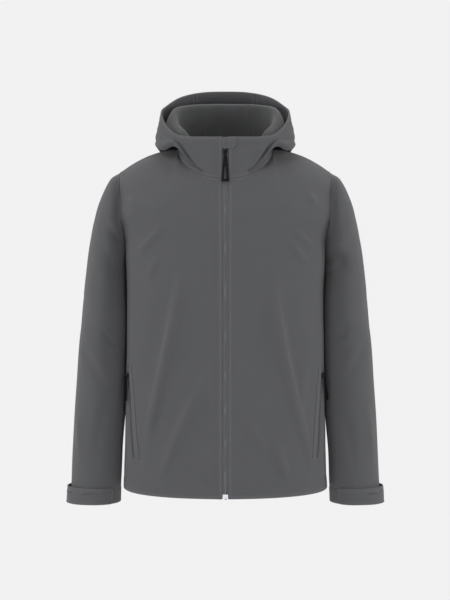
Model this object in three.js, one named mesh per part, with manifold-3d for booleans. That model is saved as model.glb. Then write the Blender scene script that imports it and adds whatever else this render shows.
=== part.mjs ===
// A men's hooded softshell jacket, zipped up and filled out as if worn, with its hood folded back.
// Millimetres. -Y is the front, +X the wearer's left, +Z up.
// The origin is at the base of the neck, between the shoulders.
import * as THREE from "three";
import { mergeVertices } from "three/addons/utils/BufferGeometryUtils.js";
import Module from "manifold-3d";

// Cloth
const WALL = 2;
const SEAM_GAP = 0.3;
const HOOD_SEAM_GAP = 0.5;
const TAPE_WALL = 1;
const TRIM_WALL = 1.6;

// Zip
const ZIP_HALF_WIDTH = 6.5;
const TAPE_HALF_WIDTH = 13;
const TAPE_PARTING = 0.2;
const TAPE_DEPTH = WALL + SEAM_GAP;

// Body
const SHOULDER_TIP = { x: 221, y: 8, z: -43 };
const SHOULDER_ARCH = 11.7;
const NECK_SHARE = 0.45;
const NECK_STRETCHES = 12;
const FRONT_FULLNESS = 0.66;
const BACK_FULLNESS = 0.7;
const YOKE_SWELL_AT_NECK = 12;
const YOKE_SWELL_AT_TIP = 9;
const YOKE_SWELL_OUT = 0.75;
const YOKE_SWELL_UP = 0.66;
const ARMPIT_AT = 0.66;

// One row for each level from the hem to the upper chest. `at` is the place along the meridian, `rise` the
// height of the side, `drop` how much lower the middle hangs, `half` the half width, `front` and `back`
// the depths, `wrap` the share of a quarter turn that the cloth covers, in degrees, and the last two the
// armhole's two edges.
const BODY_LEVELS = [
  { at: 0.0, rise: -697, drop: 9, half: 212, front: 130, back: 112, wrap: 90, edgeFront: 4, edgeBack: 4 },
  { at: 0.13, rise: -600, drop: 7, half: 209, front: 132, back: 114, wrap: 90, edgeFront: 4, edgeBack: 4 },
  { at: 0.33, rise: -450, drop: 4, half: 206, front: 130, back: 108, wrap: 90, edgeFront: 4, edgeBack: 4 },
  { at: 0.53, rise: -300, drop: 0, half: 205, front: 134, back: 117, wrap: 90, edgeFront: 4, edgeBack: 4 },
  { at: ARMPIT_AT, rise: -199, drop: 0, half: 208, front: 132, back: 120, wrap: 90, edgeFront: 4, edgeBack: 4 },
  { at: 0.69, rise: -184, drop: 0, half: 209, front: 130, back: 121, wrap: 80, edgeFront: -30, edgeBack: 44 },
  { at: 0.76, rise: -136, drop: 2, half: 213, front: 124, back: 121, wrap: 68, edgeFront: -57, edgeBack: 75 },
  { at: 0.83, rise: -92, drop: 4, half: 217, front: 113, back: 114, wrap: 56, edgeFront: -42, edgeBack: 58 },
];
const ARMPIT_HALF = BODY_LEVELS.find((level) => level.at === ARMPIT_AT).half;
const YOKE_STEPS = [
  { at: 0.88, share: 0.33 },
  { at: 0.94, share: 0.7 },
  { at: 1.0, share: 1 },
];

// Soft folds of the fronts, in the front view: top, middle and bottom points, half width and height of the
// ridge.
const FOLD_FULLNESS = 0.7;
const FRONT_FOLDS = [
  { side: -1, x0: 86, z0: -262, x1: 118, z1: -420, x2: 176, z2: -628, width: 21, height: 4.5 },
  { side: -1, x0: 36, z0: -452, x1: 84, z1: -560, x2: 126, z2: -668, width: 20, height: 3.5 },
  { side: 1, x0: 92, z0: -262, x1: 118, z1: -440, x2: 174, z2: -632, width: 21, height: 4.5 },
  { side: 1, x0: 98, z0: -592, x1: 110, z1: -628, x2: 122, z2: -664, width: 19, height: 3.5 },
];

// Soft folds of the back, in the same columns.
const BACK_FOLDS = [
  { side: -1, x0: 60, z0: -300, x1: 96, z1: -440, x2: 150, z2: -640, width: 24, height: 4 },
  { side: 1, x0: 48, z0: -360, x1: 88, z1: -500, x2: 128, z2: -660, width: 24, height: 4 },
];

// One row for each ring of a sleeve, from its head to its cuff: the outer and the inner point in the front
// view, the middle and the half of its depth.
const SLEEVE_RINGS = [
  { at: 0.04, outerX: 240, outerZ: -56, innerX: 213.5, innerZ: -208, middleY: 9, halfDepth: 73 },
  { at: 0.11, outerX: 262, outerZ: -100, innerX: 216, innerZ: -224, middleY: 8, halfDepth: 78 },
  { at: 0.18, outerX: 276, outerZ: -145, innerX: 214.5, innerZ: -250, middleY: 7, halfDepth: 79 },
  { at: 0.27, outerX: 286, outerZ: -205, innerX: 213.5, innerZ: -292, middleY: 5, halfDepth: 77 },
  { at: 0.37, outerX: 294, outerZ: -275, innerX: 213.5, innerZ: -340, middleY: 2, halfDepth: 73 },
  { at: 0.48, outerX: 301, outerZ: -350, innerX: 213.5, innerZ: -396, middleY: -2, halfDepth: 69 },
  { at: 0.62, outerX: 308, outerZ: -445, innerX: 214.5, innerZ: -475, middleY: -8, halfDepth: 62 },
  { at: 0.76, outerX: 314, outerZ: -545, innerX: 216, innerZ: -560, middleY: -12, halfDepth: 57 },
  { at: 0.9, outerX: 319, outerZ: -648, innerX: 218, innerZ: -653, middleY: -15, halfDepth: 51 },
  { at: 1.0, outerX: 322, outerZ: -730, innerX: 219, innerZ: -730, middleY: -17, halfDepth: 46 },
];

// Creases of the sleeves: place along the sleeve, turn round it in degrees (0 outside, 90 front), lengths
// and depth.
const SLEEVE_CREASES = [
  { at: 0.2, turn: 70, along: 0.05, round: 60, depth: 5 },
  { at: 0.46, turn: 60, along: 0.05, round: 55, depth: 5 },
  { at: 0.55, turn: 110, along: 0.04, round: 50, depth: 4 },
  { at: 0.5, turn: 250, along: 0.05, round: 60, depth: 4 },
];

// Where each sleeve bears against the body's side and bulges behind it, in the same columns.
const SLEEVE_BULGES = [
  { at: 0.52, turn: 210, along: 0.34, round: 27, depth: -13 },
  { at: 0.25, turn: 206, along: 0.1, round: 22, depth: -4 },
];

// Hood rings round the neck: half width, front and back in plan.
const HOOD_MIDDLE = -10;
const NECK_RING = { half: 98, front: -105, back: 76 };
const CREST_RING = { half: 109, front: -82, back: 55 };
const LIP_RING = { half: 141, front: -101, back: 134 };
const SWELL_RING = { half: 142, front: -103, back: 140 };
const EDGE_RING = { half: 134, front: -97, back: 80 };
const CREST_ROLL = { half: 7, drop: 10 };
const LIP_ROLL = { half: 7, riseInside: 7, riseOutside: 7.7 };

// One row for each station round the hood, in degrees from the front: how far its fold stands open, and
// the heights of the neck seam, the crest of the inner roll, the lower lip of the overhang and the edge of
// the face opening, and last how far the crest lies flat before it dives.
const HOOD_STATIONS = [
  { angle: 0, fold: 0, neck: -67, crest: 20, lip: -50, edge: 18, shelf: 7 },
  { angle: 22, fold: 0, neck: -61, crest: 24, lip: -44, edge: 19, shelf: 7 },
  { angle: 32, fold: 0.3, neck: -53, crest: 28, lip: -24, edge: 21, shelf: 9 },
  { angle: 45, fold: 0.9, neck: -43, crest: 34, lip: 4, edge: 27, shelf: 11 },
  { angle: 60, fold: 1, neck: -29, crest: 46, lip: -4, edge: 45, shelf: 15 },
  { angle: 75, fold: 1, neck: -11, crest: 63, lip: 1, edge: 66, shelf: 13 },
  { angle: 90, fold: 1, neck: 4, crest: 80, lip: 9, edge: 84, shelf: 9 },
  { angle: 110, fold: 1, neck: 10, crest: 94, lip: -3, edge: 100.5, shelf: 8 },
  { angle: 135, fold: 1, neck: 14, crest: 103, lip: -32, edge: 126, shelf: 7 },
  { angle: 158, fold: 1, neck: 15.5, crest: 107, lip: -48, edge: 139, shelf: 7 },
  { angle: 180, fold: 1, neck: 16, crest: 108, lip: -58, edge: 142, shelf: 7 },
];
const CENTRE_PANEL_FROM = 150;

// Places of the profile's points on the closed fold, as shares of the way from the neck seam to the edge,
// and the profile's steps with their places along the cloth.
const CLOSED_SHARES = [0, 0.05, 0.07, 0.09, 0.11, 0.14, 0.2, 0.6, 1];
const PROFILE_AT = [0, 0.14, 0.2, 0.26, 0.5, 0.56, 0.62, 0.8, 1];

// Trim
const CHIN_GUARD = { bottomUp: 0.853, cornerUp: 0.915, lift: SEAM_GAP + TRIM_WALL };
const CUFF_TAB = { height: 34, from: -54, to: 144, facets: 11, proud: 6 };
const POCKET = {
  topX: 198,
  topZ: -447,
  bottomX: 186,
  bottomZ: -628,
  zipWidth: 7,
  weltFrom: 6.4,
  weltWidth: 12,
  rows: 10,
};
const MAIN_PULLER = {
  length: 62,
  neck: 8,
  neckHalf: 2.5,
  shoulderHalf: 3.6,
  bottomHalf: 7.8,
  slotFrom: 28,
  rim: 4.2,
  lean: 5,
};
const POCKET_PULLER = {
  length: 52,
  neck: 8,
  neckHalf: 2.5,
  shoulderHalf: 3,
  bottomHalf: 5.4,
  slotFrom: 22,
  rim: 3,
  lean: 2,
};
const PULLER_THICKNESS = 2.2;
const PULLER_BARREL = 1.3;
const PULLER_CORNER = 1.5;
const PULLER_SHOULDER_DROP = 2;
const SLOT_TOP_SHARE = 0.35;
const SLOT_SILL_SHARE = 0.8;
const SLIDER = { half: 4.5, length: 11, base: 2.6, ear: 6, earInner: 2.9 };
const MAIN_SLIDER_HEIGHT = -13;
const POCKET_SLIDER_SHARE = 0.07;
const LEFT_POCKET_TILT = 12;
const END_BOX = { half: 5.5, height: 9, depth: 3.2, riseOverHem: 0.5 };

const mix = (a, b, share) => a + (b - a) * share;
const radians = THREE.MathUtils.degToRad;
const vector = (x, y, z) => new THREE.Vector3(x, y, z);

// The value at `at` of a smooth curve through numbers placed at the knots, level where the numbers turn
// back.
function smooth(knots, values, at) {
  const last = knots.length - 1;
  let i = 0;
  while (i < last - 1 && at > knots[i + 1]) i += 1;
  const slope = (k) => {
    const low = Math.max(k - 1, 0);
    const high = Math.min(k + 1, last);
    const turnsBack = (values[high] - values[k]) * (values[k] - values[low]) <= 0 && low < k && high > k;
    return turnsBack ? 0 : (values[high] - values[low]) / (knots[high] - knots[low]);
  };
  const span = knots[i + 1] - knots[i];
  const t = (at - knots[i]) / span;
  const t2 = t * t;
  const t3 = t2 * t;
  return (
    (2 * t3 - 3 * t2 + 1) * values[i] +
    (t3 - 2 * t2 + t) * span * slope(i) +
    (3 * t2 - 2 * t3) * values[i + 1] +
    (t3 - t2) * span * slope(i + 1)
  );
}

// The same through points.
function smoothPoint(knots, points, at) {
  const along = (axis) => smooth(knots, points.map((p) => p[axis]), at);
  return vector(along("x"), along("y"), along("z"));
}

// A point of a ring round the neck, `turn` from the front edge (0) to the middle of the back (1).
function ringPoint(ring, turn, height, edge = ZIP_HALF_WIDTH) {
  const start = Math.asin(edge / ring.half);
  const angle = mix(start, Math.PI, turn);
  const c = Math.cos(angle);
  const reach = c > 0 ? ring.front - HOOD_MIDDLE : HOOD_MIDDLE - ring.back;
  return vector(ring.half * Math.sin(angle), HOOD_MIDDLE + c * reach, height);
}

// The stations with the nearest ones of the other side, so that the hood is level where its halves meet.
const lastStation = HOOD_STATIONS.length - 1;
const stationsRound = [
  { ...HOOD_STATIONS[1], angle: -HOOD_STATIONS[1].angle },
  ...HOOD_STATIONS,
  { ...HOOD_STATIONS[lastStation - 1], angle: 360 - HOOD_STATIONS[lastStation - 1].angle },
];
const stationAngles = stationsRound.map((s) => s.angle);
const stationValue = (column, turn) => smooth(stationAngles, stationsRound.map((s) => s[column]), turn * 180);

// A point of the neck seam, on straight stretches that the body and the hood share.
function neckPoint(turn, edge) {
  const knot = Math.min(Math.floor(turn * NECK_STRETCHES), NECK_STRETCHES - 1);
  const at = (k) => ringPoint(NECK_RING, k / NECK_STRETCHES, stationValue("neck", k / NECK_STRETCHES), edge);
  return at(knot).lerp(at(knot + 1), turn * NECK_STRETCHES - knot);
}

// A point of one level of the body, `across` from the zip or the middle of the back (0) to the side (1).
function levelPoint(level, across, isBack, edge) {
  const start = Math.asin(edge / level.half);
  const wrap = radians(level.wrap);
  const fullness = isBack ? BACK_FULLNESS : FRONT_FULLNESS;
  const depth = isBack ? level.back : -level.front;
  const sideY = isBack ? level.edgeBack : level.edgeFront;
  const angle = mix(start, wrap, across);
  const lowest = Math.max(Math.cos(wrap), 0) ** fullness;
  const swell = (Math.max(Math.cos(angle), 0) ** fullness - lowest) / (1 - lowest);
  const x = (level.half * Math.sin(angle)) / Math.sin(wrap);
  return vector(x, sideY + (depth - sideY) * swell, level.rise - level.drop * swell);
}

// A point of the top edge of a front or the back: the neck seam, then the shoulder seam.
function topPoint(across, isBack, edge) {
  if (across <= NECK_SHARE) {
    const share = across / NECK_SHARE;
    return isBack ? neckPoint(mix(1, 0.5, share)) : neckPoint(mix(0, 0.5, share), edge);
  }
  const neckSide = neckPoint(0.5);
  const share = (across - NECK_SHARE) / (1 - NECK_SHARE);
  const arch = SHOULDER_ARCH * 4 * share * (1 - share);
  return vector(
    mix(neckSide.x, SHOULDER_TIP.x, share),
    mix(neckSide.y, SHOULDER_TIP.y, share),
    mix(neckSide.z, SHOULDER_TIP.z, share) + arch,
  );
}

// A point of the yoke between the upper chest and the top edge.
function yokePoint(share, across, isBack, edge) {
  const low = levelPoint(BODY_LEVELS[BODY_LEVELS.length - 1], across, isBack, edge);
  const top = topPoint(across, isBack, edge);
  const swellHere =
    across < NECK_SHARE
      ? (YOKE_SWELL_AT_NECK * across) / NECK_SHARE
      : mix(YOKE_SWELL_AT_NECK, YOKE_SWELL_AT_TIP, (across - NECK_SHARE) / (1 - NECK_SHARE));
  const swell = 4 * share * (1 - share) * swellHere;
  const outward = vector(0, isBack ? YOKE_SWELL_OUT : -YOKE_SWELL_OUT, YOKE_SWELL_UP);
  return low.lerp(top, share).addScaledVector(outward, swell);
}

const BODY_KNOTS = [...BODY_LEVELS.map((level) => level.at), ...YOKE_STEPS.map((step) => step.at)];

// How far the cloth is lifted by the soft folds at a place of the front view.
function foldLift(folds, side, x, z) {
  let lift = 0;
  for (const fold of folds) {
    if (fold.side !== side) continue;
    const down = (fold.z0 - z) / (fold.z0 - fold.z2);
    if (down <= 0 || down >= 1) continue;
    const middle = (fold.z0 - fold.z1) / (fold.z0 - fold.z2);
    const ridge = smooth([0, middle, 1], [fold.x0, fold.x1, fold.x2], down);
    const off = (x - ridge) / fold.width;
    lift += fold.height * Math.sin(Math.PI * down) ** FOLD_FULLNESS * Math.exp(-off * off);
  }
  return lift;
}

// A point of the body's outer face: `across` as above, `up` from the hem (0) to the neck and shoulder seam
// (1).
function bodyPoint(across, up, isBack, side = 1, edge = ZIP_HALF_WIDTH) {
  const points = [
    ...BODY_LEVELS.map((level) => levelPoint(level, across, isBack, edge)),
    ...YOKE_STEPS.map((step) => yokePoint(step.share, across, isBack, edge)),
  ];
  const point = smoothPoint(BODY_KNOTS, points, up);
  const lift = foldLift(isBack ? BACK_FOLDS : FRONT_FOLDS, side, point.x, point.z);
  point.y += isBack ? lift : -lift;
  return point;
}

// The armhole's edge, in degrees from the shoulder tip (0) by the front (90) and the armpit (180) to the
// back (270).
function armholePoint(turn) {
  const isBack = turn > 180;
  const share = isBack ? (360 - turn) / 180 : turn / 180;
  return bodyPoint(1, mix(1, ARMPIT_AT, share), isBack);
}

// A point of a sleeve's outer face, `turn` round it in degrees, `along` from the armhole (0) to the cuff
// (1).
function sleevePoint(turn, along) {
  const a = radians(turn);
  const start = armholePoint(turn);
  start.x = Math.max(start.x, ARMPIT_HALF) + SEAM_GAP;
  const points = [start];
  for (const ring of SLEEVE_RINGS) {
    const outward = 0.5 + 0.5 * Math.cos(a);
    points.push(
      vector(
        mix(ring.innerX, ring.outerX, outward),
        ring.middleY - ring.halfDepth * Math.sin(a),
        mix(ring.innerZ, ring.outerZ, outward),
      ),
    );
  }
  const point = smoothPoint([0, ...SLEEVE_RINGS.map((ring) => ring.at)], points, along);
  const ringPlaces = SLEEVE_RINGS.map((ring) => ring.at);
  const middleX = smooth(ringPlaces, SLEEVE_RINGS.map((ring) => (ring.innerX + ring.outerX) / 2), along);
  const middleY = smooth(ringPlaces, SLEEVE_RINGS.map((ring) => ring.middleY), along);
  const inward = vector(middleX - point.x, middleY - point.y, 0).normalize();
  for (const crease of [...SLEEVE_CREASES, ...SLEEVE_BULGES]) {
    const off = ((along - crease.at) / crease.along) ** 2 + ((turn - crease.turn) / crease.round) ** 2;
    point.addScaledVector(inward, crease.depth * Math.exp(-off));
  }
  return point;
}

// A point of the hood's outer face, `turn` round the neck (0 front, 1 back), `up` the cloth from the neck
// seam to the edge.
function hoodPoint(turn, up, edge = ZIP_HALF_WIDTH) {
  const fold = THREE.MathUtils.clamp(stationValue("fold", turn), 0, 1);
  const edgeHeight = stationValue("edge", turn);
  const lipHeight = stationValue("lip", turn);
  const shelf = stationValue("shelf", turn);
  const neck = neckPoint(turn, edge);
  const crest = ringPoint(CREST_RING, turn, stationValue("crest", turn), edge);
  const lip = ringPoint(LIP_RING, turn, lipHeight, edge);
  const swell = ringPoint(SWELL_RING, turn, mix(lipHeight, edgeHeight, 0.5), edge);
  const rim = ringPoint(EDGE_RING, turn, edgeHeight, edge);
  const out = vector(lip.x - crest.x, lip.y - crest.y, 0).normalize();
  const beside = (point, outward, rise) => point.clone().addScaledVector(out, outward).setZ(point.z + rise);
  const open = [
    neck,
    beside(crest, -CREST_ROLL.half, -CREST_ROLL.drop),
    crest,
    beside(crest, shelf, -CREST_ROLL.drop),
    beside(lip, -LIP_ROLL.half, LIP_ROLL.riseInside),
    lip,
    beside(lip, LIP_ROLL.half, LIP_ROLL.riseOutside),
    swell,
    rim,
  ];
  const points = open.map((point, i) => neck.clone().lerp(rim, CLOSED_SHARES[i]).lerp(point, fold));
  return smoothPoint(PROFILE_AT, points, up);
}

// Rows of points over a rectangle of two parameters.
function gridOf(acrossList, upList, place) {
  return upList.map((up) => acrossList.map((across) => place(across, up)));
}

const steps = (from, to, count) => Array.from({ length: count + 1 }, (_, i) => mix(from, to, i / count));

// Moves the points of a grid's border inwards along the cloth.
function pullIn(grid, sides, distance) {
  const rows = grid.length;
  const columns = grid[0].length;
  const pull = (point, towards) => point.add(towards.clone().sub(point).setLength(distance));
  if (sides.includes("bottom")) grid[0].forEach((p, i) => pull(p, grid[1][i]));
  if (sides.includes("top")) grid[rows - 1].forEach((p, i) => pull(p, grid[rows - 2][i]));
  if (sides.includes("start")) grid.forEach((row) => pull(row[0], row[1]));
  if (sides.includes("end")) grid.forEach((row) => pull(row[columns - 1], row[columns - 2]));
  return grid;
}

// The cloth's outward direction at each point of a grid.
function gridNormals(grid, isTube) {
  const columns = grid[0].length;
  return grid.map((row, j) =>
    row.map((_, i) => {
      const before = isTube ? (i + columns - 1) % columns : Math.max(i - 1, 0);
      const after = isTube ? (i + 1) % columns : Math.min(i + 1, columns - 1);
      const across = row[after].clone().sub(row[before]);
      const below = grid[Math.max(j - 1, 0)][i];
      const above = grid[Math.min(j + 1, grid.length - 1)][i];
      return across.cross(above.clone().sub(below)).normalize();
    }),
  );
}

// Gives the facing border points of panels that meet at a smooth seam one shared direction, so that their
// edges are parallel.
function shareSeamNormals(panels) {
  const border = ({ grid, normals }) =>
    grid.flatMap((row, j) =>
      row.flatMap((point, i) => {
        const onBorder = j === 0 || i === 0 || j === grid.length - 1 || i === row.length - 1;
        return onBorder ? [{ point, normal: normals[j][i] }] : [];
      }),
    );
  const borders = panels.map(border);
  borders.forEach((one, k) =>
    borders.slice(k + 1).forEach((other) =>
      one.forEach((a) => {
        const b = other.find(({ point }) => point.distanceTo(a.point) < 3 * SEAM_GAP);
        if (!b) return;
        const shared = a.normal.clone().add(b.normal).normalize();
        a.normal.copy(shared);
        b.normal.copy(shared);
      }),
    ),
  );
}

// A closed wall of cloth whose outer face lies `lift` outside a grid of points.
function clothWall(
  grid,
  { isTube = false, lift = 0, thickness = WALL, proud = () => 0, normals = null } = {},
) {
  normals ??= gridNormals(grid, isTube);
  const rows = grid.length;
  const columns = grid[0].length;
  const positions = [];
  const outer = (j, i) => j * columns + (i % columns);
  const inner = (j, i) => rows * columns + outer(j, i);
  for (const depth of [0, thickness])
    grid.forEach((row, j) =>
      row.forEach((point, i) => {
        const away = lift - depth + proud(j / (rows - 1), i / (columns - 1));
        positions.push(...point.clone().addScaledVector(normals[j][i], away).toArray());
      }),
    );
  const index = [];
  const quad = (a, b, c, d) => index.push(a, b, c, a, c, d);
  const lastColumn = isTube ? columns : columns - 1;
  for (let j = 0; j < rows - 1; j += 1)
    for (let i = 0; i < lastColumn; i += 1) {
      quad(outer(j, i), outer(j, i + 1), outer(j + 1, i + 1), outer(j + 1, i));
      quad(inner(j, i), inner(j + 1, i), inner(j + 1, i + 1), inner(j, i + 1));
    }
  for (let i = 0; i < lastColumn; i += 1) {
    quad(inner(0, i), inner(0, i + 1), outer(0, i + 1), outer(0, i));
    quad(outer(rows - 1, i), outer(rows - 1, i + 1), inner(rows - 1, i + 1), inner(rows - 1, i));
  }
  if (!isTube)
    for (let j = 0; j < rows - 1; j += 1) {
      quad(inner(j, 0), outer(j, 0), outer(j + 1, 0), inner(j + 1, 0));
      quad(outer(j, columns - 1), inner(j, columns - 1), inner(j + 1, columns - 1), outer(j + 1, columns - 1));
    }
  const geometry = new THREE.BufferGeometry();
  geometry.setAttribute("position", new THREE.Float32BufferAttribute(positions, 3));
  geometry.setIndex(index);
  return geometry;
}

// The same grid on the wearer's other side, its columns turned round so that its outer face stays outside.
const mirroredGrid = (grid) => grid.map((row) => row.map((p) => vector(-p.x, p.y, p.z)).reverse());

const material = (color, roughness, metalness = 0) =>
  new THREE.MeshStandardMaterial({ color, roughness, metalness });
const clothMaterial = () => material(0x5b5c5e, 0.88);
const tapeMaterial = () => material(0x515254, 0.75);
const rubberMaterial = () => material(0x1b1b1c, 0.55);
const sliderMaterial = () => material(0x232324, 0.4, 0.6);
const endBoxMaterial = () => material(0xd9d9d6, 0.35);

const jacket = new THREE.Group();

function addPiece(name, geometry, material) {
  const mesh = new THREE.Mesh(geometry, material);
  mesh.name = name;
  jacket.add(mesh);
  return mesh;
}

const SIDES = [
  { name: "left", sign: 1 },
  { name: "right", sign: -1 },
];
const onSide = (grid, sign) => (sign > 0 ? grid : mirroredGrid(grid));

// Fronts and back
const ARMHOLE_ROWS = 10;
const BODY_UPS = [...steps(0, ARMPIT_AT, 13), ...steps(ARMPIT_AT, 1, ARMHOLE_ROWS).slice(1)];
const BODY_ACROSS = [...steps(0, NECK_SHARE, NECK_STRETCHES / 2), ...steps(NECK_SHARE, 1, 8).slice(1)];

function frontGrid(sign) {
  const grid = gridOf(BODY_ACROSS, BODY_UPS, (across, up) => bodyPoint(across, up, false, sign));
  return onSide(pullIn(grid, ["top", "end"], SEAM_GAP / 2), sign);
}

function backGrid() {
  const half = (sign) => BODY_ACROSS.map((across) => ({ across, sign }));
  const columns = [...half(1).reverse(), ...half(-1).slice(1)];
  const grid = gridOf(columns, BODY_UPS, ({ across, sign }, up) => {
    const point = bodyPoint(across, up, true, sign, 0);
    point.x *= sign;
    return point;
  });
  return pullIn(grid, ["top", "start", "end"], SEAM_GAP / 2);
}

// Sleeves
const SLEEVE_SIDES = 2 * ARMHOLE_ROWS;
const SLEEVE_ALONG = [0, 0.02, 0.045, 0.08, 0.12, 0.16, 0.2, 0.25, ...steps(0.3, 1, 12)];

function sleeveWall(sign) {
  const turns = steps(0, 360, SLEEVE_SIDES).slice(0, -1);
  const grid = onSide(gridOf(turns, SLEEVE_ALONG, sleevePoint), sign);
  const normals = gridNormals(grid, true);
  for (const normal of normals[0]) normal.setX(0).normalize();
  return clothWall(grid, { isTube: true, normals });
}

// Hood
const HOOD_UPS = [0, 0.07, 0.14, 0.18, 0.22, 0.27, 0.38, 0.5, 0.545, 0.58, 0.63, 0.71, 0.8, 0.9, 1];

const HOOD_TURNS = [...steps(0, 0.5, NECK_STRETCHES), ...steps(0.5, CENTRE_PANEL_FROM / 180, 4).slice(1)];

function hoodSideGrid(sign) {
  const grid = gridOf(HOOD_TURNS, HOOD_UPS, (turn, up) => hoodPoint(turn, up));
  return onSide(pullIn(grid, ["bottom", "end"], HOOD_SEAM_GAP / 2), sign);
}

function hoodCentreGrid() {
  const half = steps(CENTRE_PANEL_FROM / 180, 1, 3);
  const columns = [
    ...half.map((turn) => ({ turn, sign: 1 })),
    ...half.slice(0, -1).reverse().map((turn) => ({ turn, sign: -1 })),
  ];
  const grid = gridOf(columns, HOOD_UPS, ({ turn, sign }, up) => {
    const point = hoodPoint(turn, up);
    point.x *= sign;
    return point;
  });
  return pullIn(grid, ["bottom", "start", "end"], HOOD_SEAM_GAP / 2);
}

// Panels that meet at smooth seams are made together.
function addPanels(grids) {
  const panels = Object.entries(grids).map(([name, grid]) => {
    return { name, grid, normals: gridNormals(grid, false) };
  });
  shareSeamNormals(panels);
  for (const { name, grid, normals } of panels) addPiece(name, clothWall(grid, { normals }), clothMaterial());
}

addPanels({ front_left: frontGrid(1), front_right: frontGrid(-1), back: backGrid() });
for (const { name, sign } of SIDES) addPiece(`sleeve_${name}`, sleeveWall(sign), clothMaterial());
addPanels({ hood_left: hoodSideGrid(1), hood_right: hoodSideGrid(-1), hood_centre: hoodCentreGrid() });

// Front zip: a tape behind each edge, made from the points of the fronts and of the hood's front edges
function tapeGrid(sign) {
  const row = (edgePoint, nextPoint) => [
    vector(TAPE_PARTING, edgePoint.y, edgePoint.z),
    edgePoint,
    edgePoint.clone().lerp(nextPoint, (TAPE_HALF_WIDTH - edgePoint.x) / (nextPoint.x - edgePoint.x)),
  ];
  const onFront = BODY_UPS.map((up) => row(bodyPoint(0, up, false), bodyPoint(BODY_ACROSS[1], up, false)));
  const onHood = HOOD_UPS.slice(1, -1).map((up) => row(hoodPoint(0, up), hoodPoint(HOOD_TURNS[1], up)));
  return onSide([...onFront, ...onHood], sign);
}

// Chin guard: a flap over the top of the zip, its lower outer corner cut away
function chinGuardGrid() {
  const edgeRight = (up) => hoodPoint(0, up).multiply(vector(-1, 1, 1));
  const outward = (share) => (up) => hoodPoint(0, up).lerp(hoodPoint(HOOD_TURNS[1], up), share);
  const columns = [
    { place: edgeRight, from: CHIN_GUARD.bottomUp },
    { place: outward(0), from: CHIN_GUARD.bottomUp },
    { place: outward(0.5), from: CHIN_GUARD.bottomUp },
    { place: outward(0.85), from: mix(CHIN_GUARD.bottomUp, CHIN_GUARD.cornerUp, 0.3) },
    { place: outward(1), from: CHIN_GUARD.cornerUp },
  ];
  return gridOf(columns, steps(0, 1, 4), ({ place, from }, share) => place(mix(from, 1, share)));
}

// Cuffs: a closing tab round the outside of each sleeve's end, standing proud on the outer side
function cuffTabGrid(sign) {
  const lowest = sleevePoint(0, 1).z;
  const along = (height) => 1 - (0.1 * height) / (sleevePoint(0, 0.9).z - lowest);
  const turns = steps(CUFF_TAB.from, CUFF_TAB.to, CUFF_TAB.facets);
  const grid = gridOf(turns, [along(CUFF_TAB.height), along(CUFF_TAB.height / 2), 1], (turn, place) =>
    sleevePoint((turn + 360) % 360, place),
  );
  return onSide(grid, sign);
}
const cuffTabProud = (sign) => (down, round) => {
  const turn = mix(CUFF_TAB.from, CUFF_TAB.to, sign > 0 ? round : 1 - round);
  return CUFF_TAB.proud * Math.max(Math.cos(radians(turn)), 0) ** 2;
};

// The place on a front at a distance from the middle and a height, as `across` and `up`, found by halving.
const HALVINGS = 24;
const PROBE = 0.01;
function placeOnFront(x, z) {
  const halving = (measure, low, high) => {
    for (let i = 0; i < HALVINGS; i += 1) {
      const middle = (low + high) / 2;
      if (measure(middle) < 0) low = middle;
      else high = middle;
    }
    return (low + high) / 2;
  };
  let across = 0.8;
  let up = 0.3;
  for (let i = 0; i < 3; i += 1) {
    up = halving((value) => bodyPoint(across, value, false).z - z, 0, 1);
    across = halving((value) => bodyPoint(value, up, false).x - x, 0, 1);
  }
  return { across, up };
}

// A strip on a front along the pocket opening, between two distances from the opening's line (towards the
// side is positive).
function pocketStrip(sign, from, to) {
  const rows = steps(0, 1, POCKET.rows).map((share) => {
    const x = mix(POCKET.bottomX, POCKET.topX, share);
    const place = placeOnFront(x, mix(POCKET.bottomZ, POCKET.topZ, share));
    const here = bodyPoint(place.across, place.up, false, sign);
    const beside = bodyPoint(place.across + PROBE, place.up, false, sign);
    const perMillimetre = PROBE / here.distanceTo(beside);
    return [from, (from + to) / 2, to].map((off) =>
      bodyPoint(place.across + off * perMillimetre, place.up, false, sign),
    );
  });
  return onSide(rows, sign);
}

// Joins closed shapes into one.
const wasm = await Module();
wasm.setup();
function joined(...geometries) {
  const solids = geometries.map((geometry) => {
    const bare = geometry.index ? geometry.toNonIndexed() : geometry.clone();
    bare.deleteAttribute("normal");
    bare.deleteAttribute("uv");
    const merged = mergeVertices(bare, 1e-4);
    return new wasm.Manifold(
      new wasm.Mesh({
        numProp: 3,
        vertProperties: merged.getAttribute("position").array,
        triVerts: new Uint32Array(merged.index.array),
      }),
    );
  });
  const mesh = solids.reduce((whole, solid) => whole.add(solid)).getMesh();
  const geometry = new THREE.BufferGeometry();
  geometry.setAttribute("position", new THREE.BufferAttribute(mesh.vertProperties, mesh.numProp));
  geometry.setIndex(new THREE.BufferAttribute(mesh.triVerts, 1));
  return geometry;
}

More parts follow.
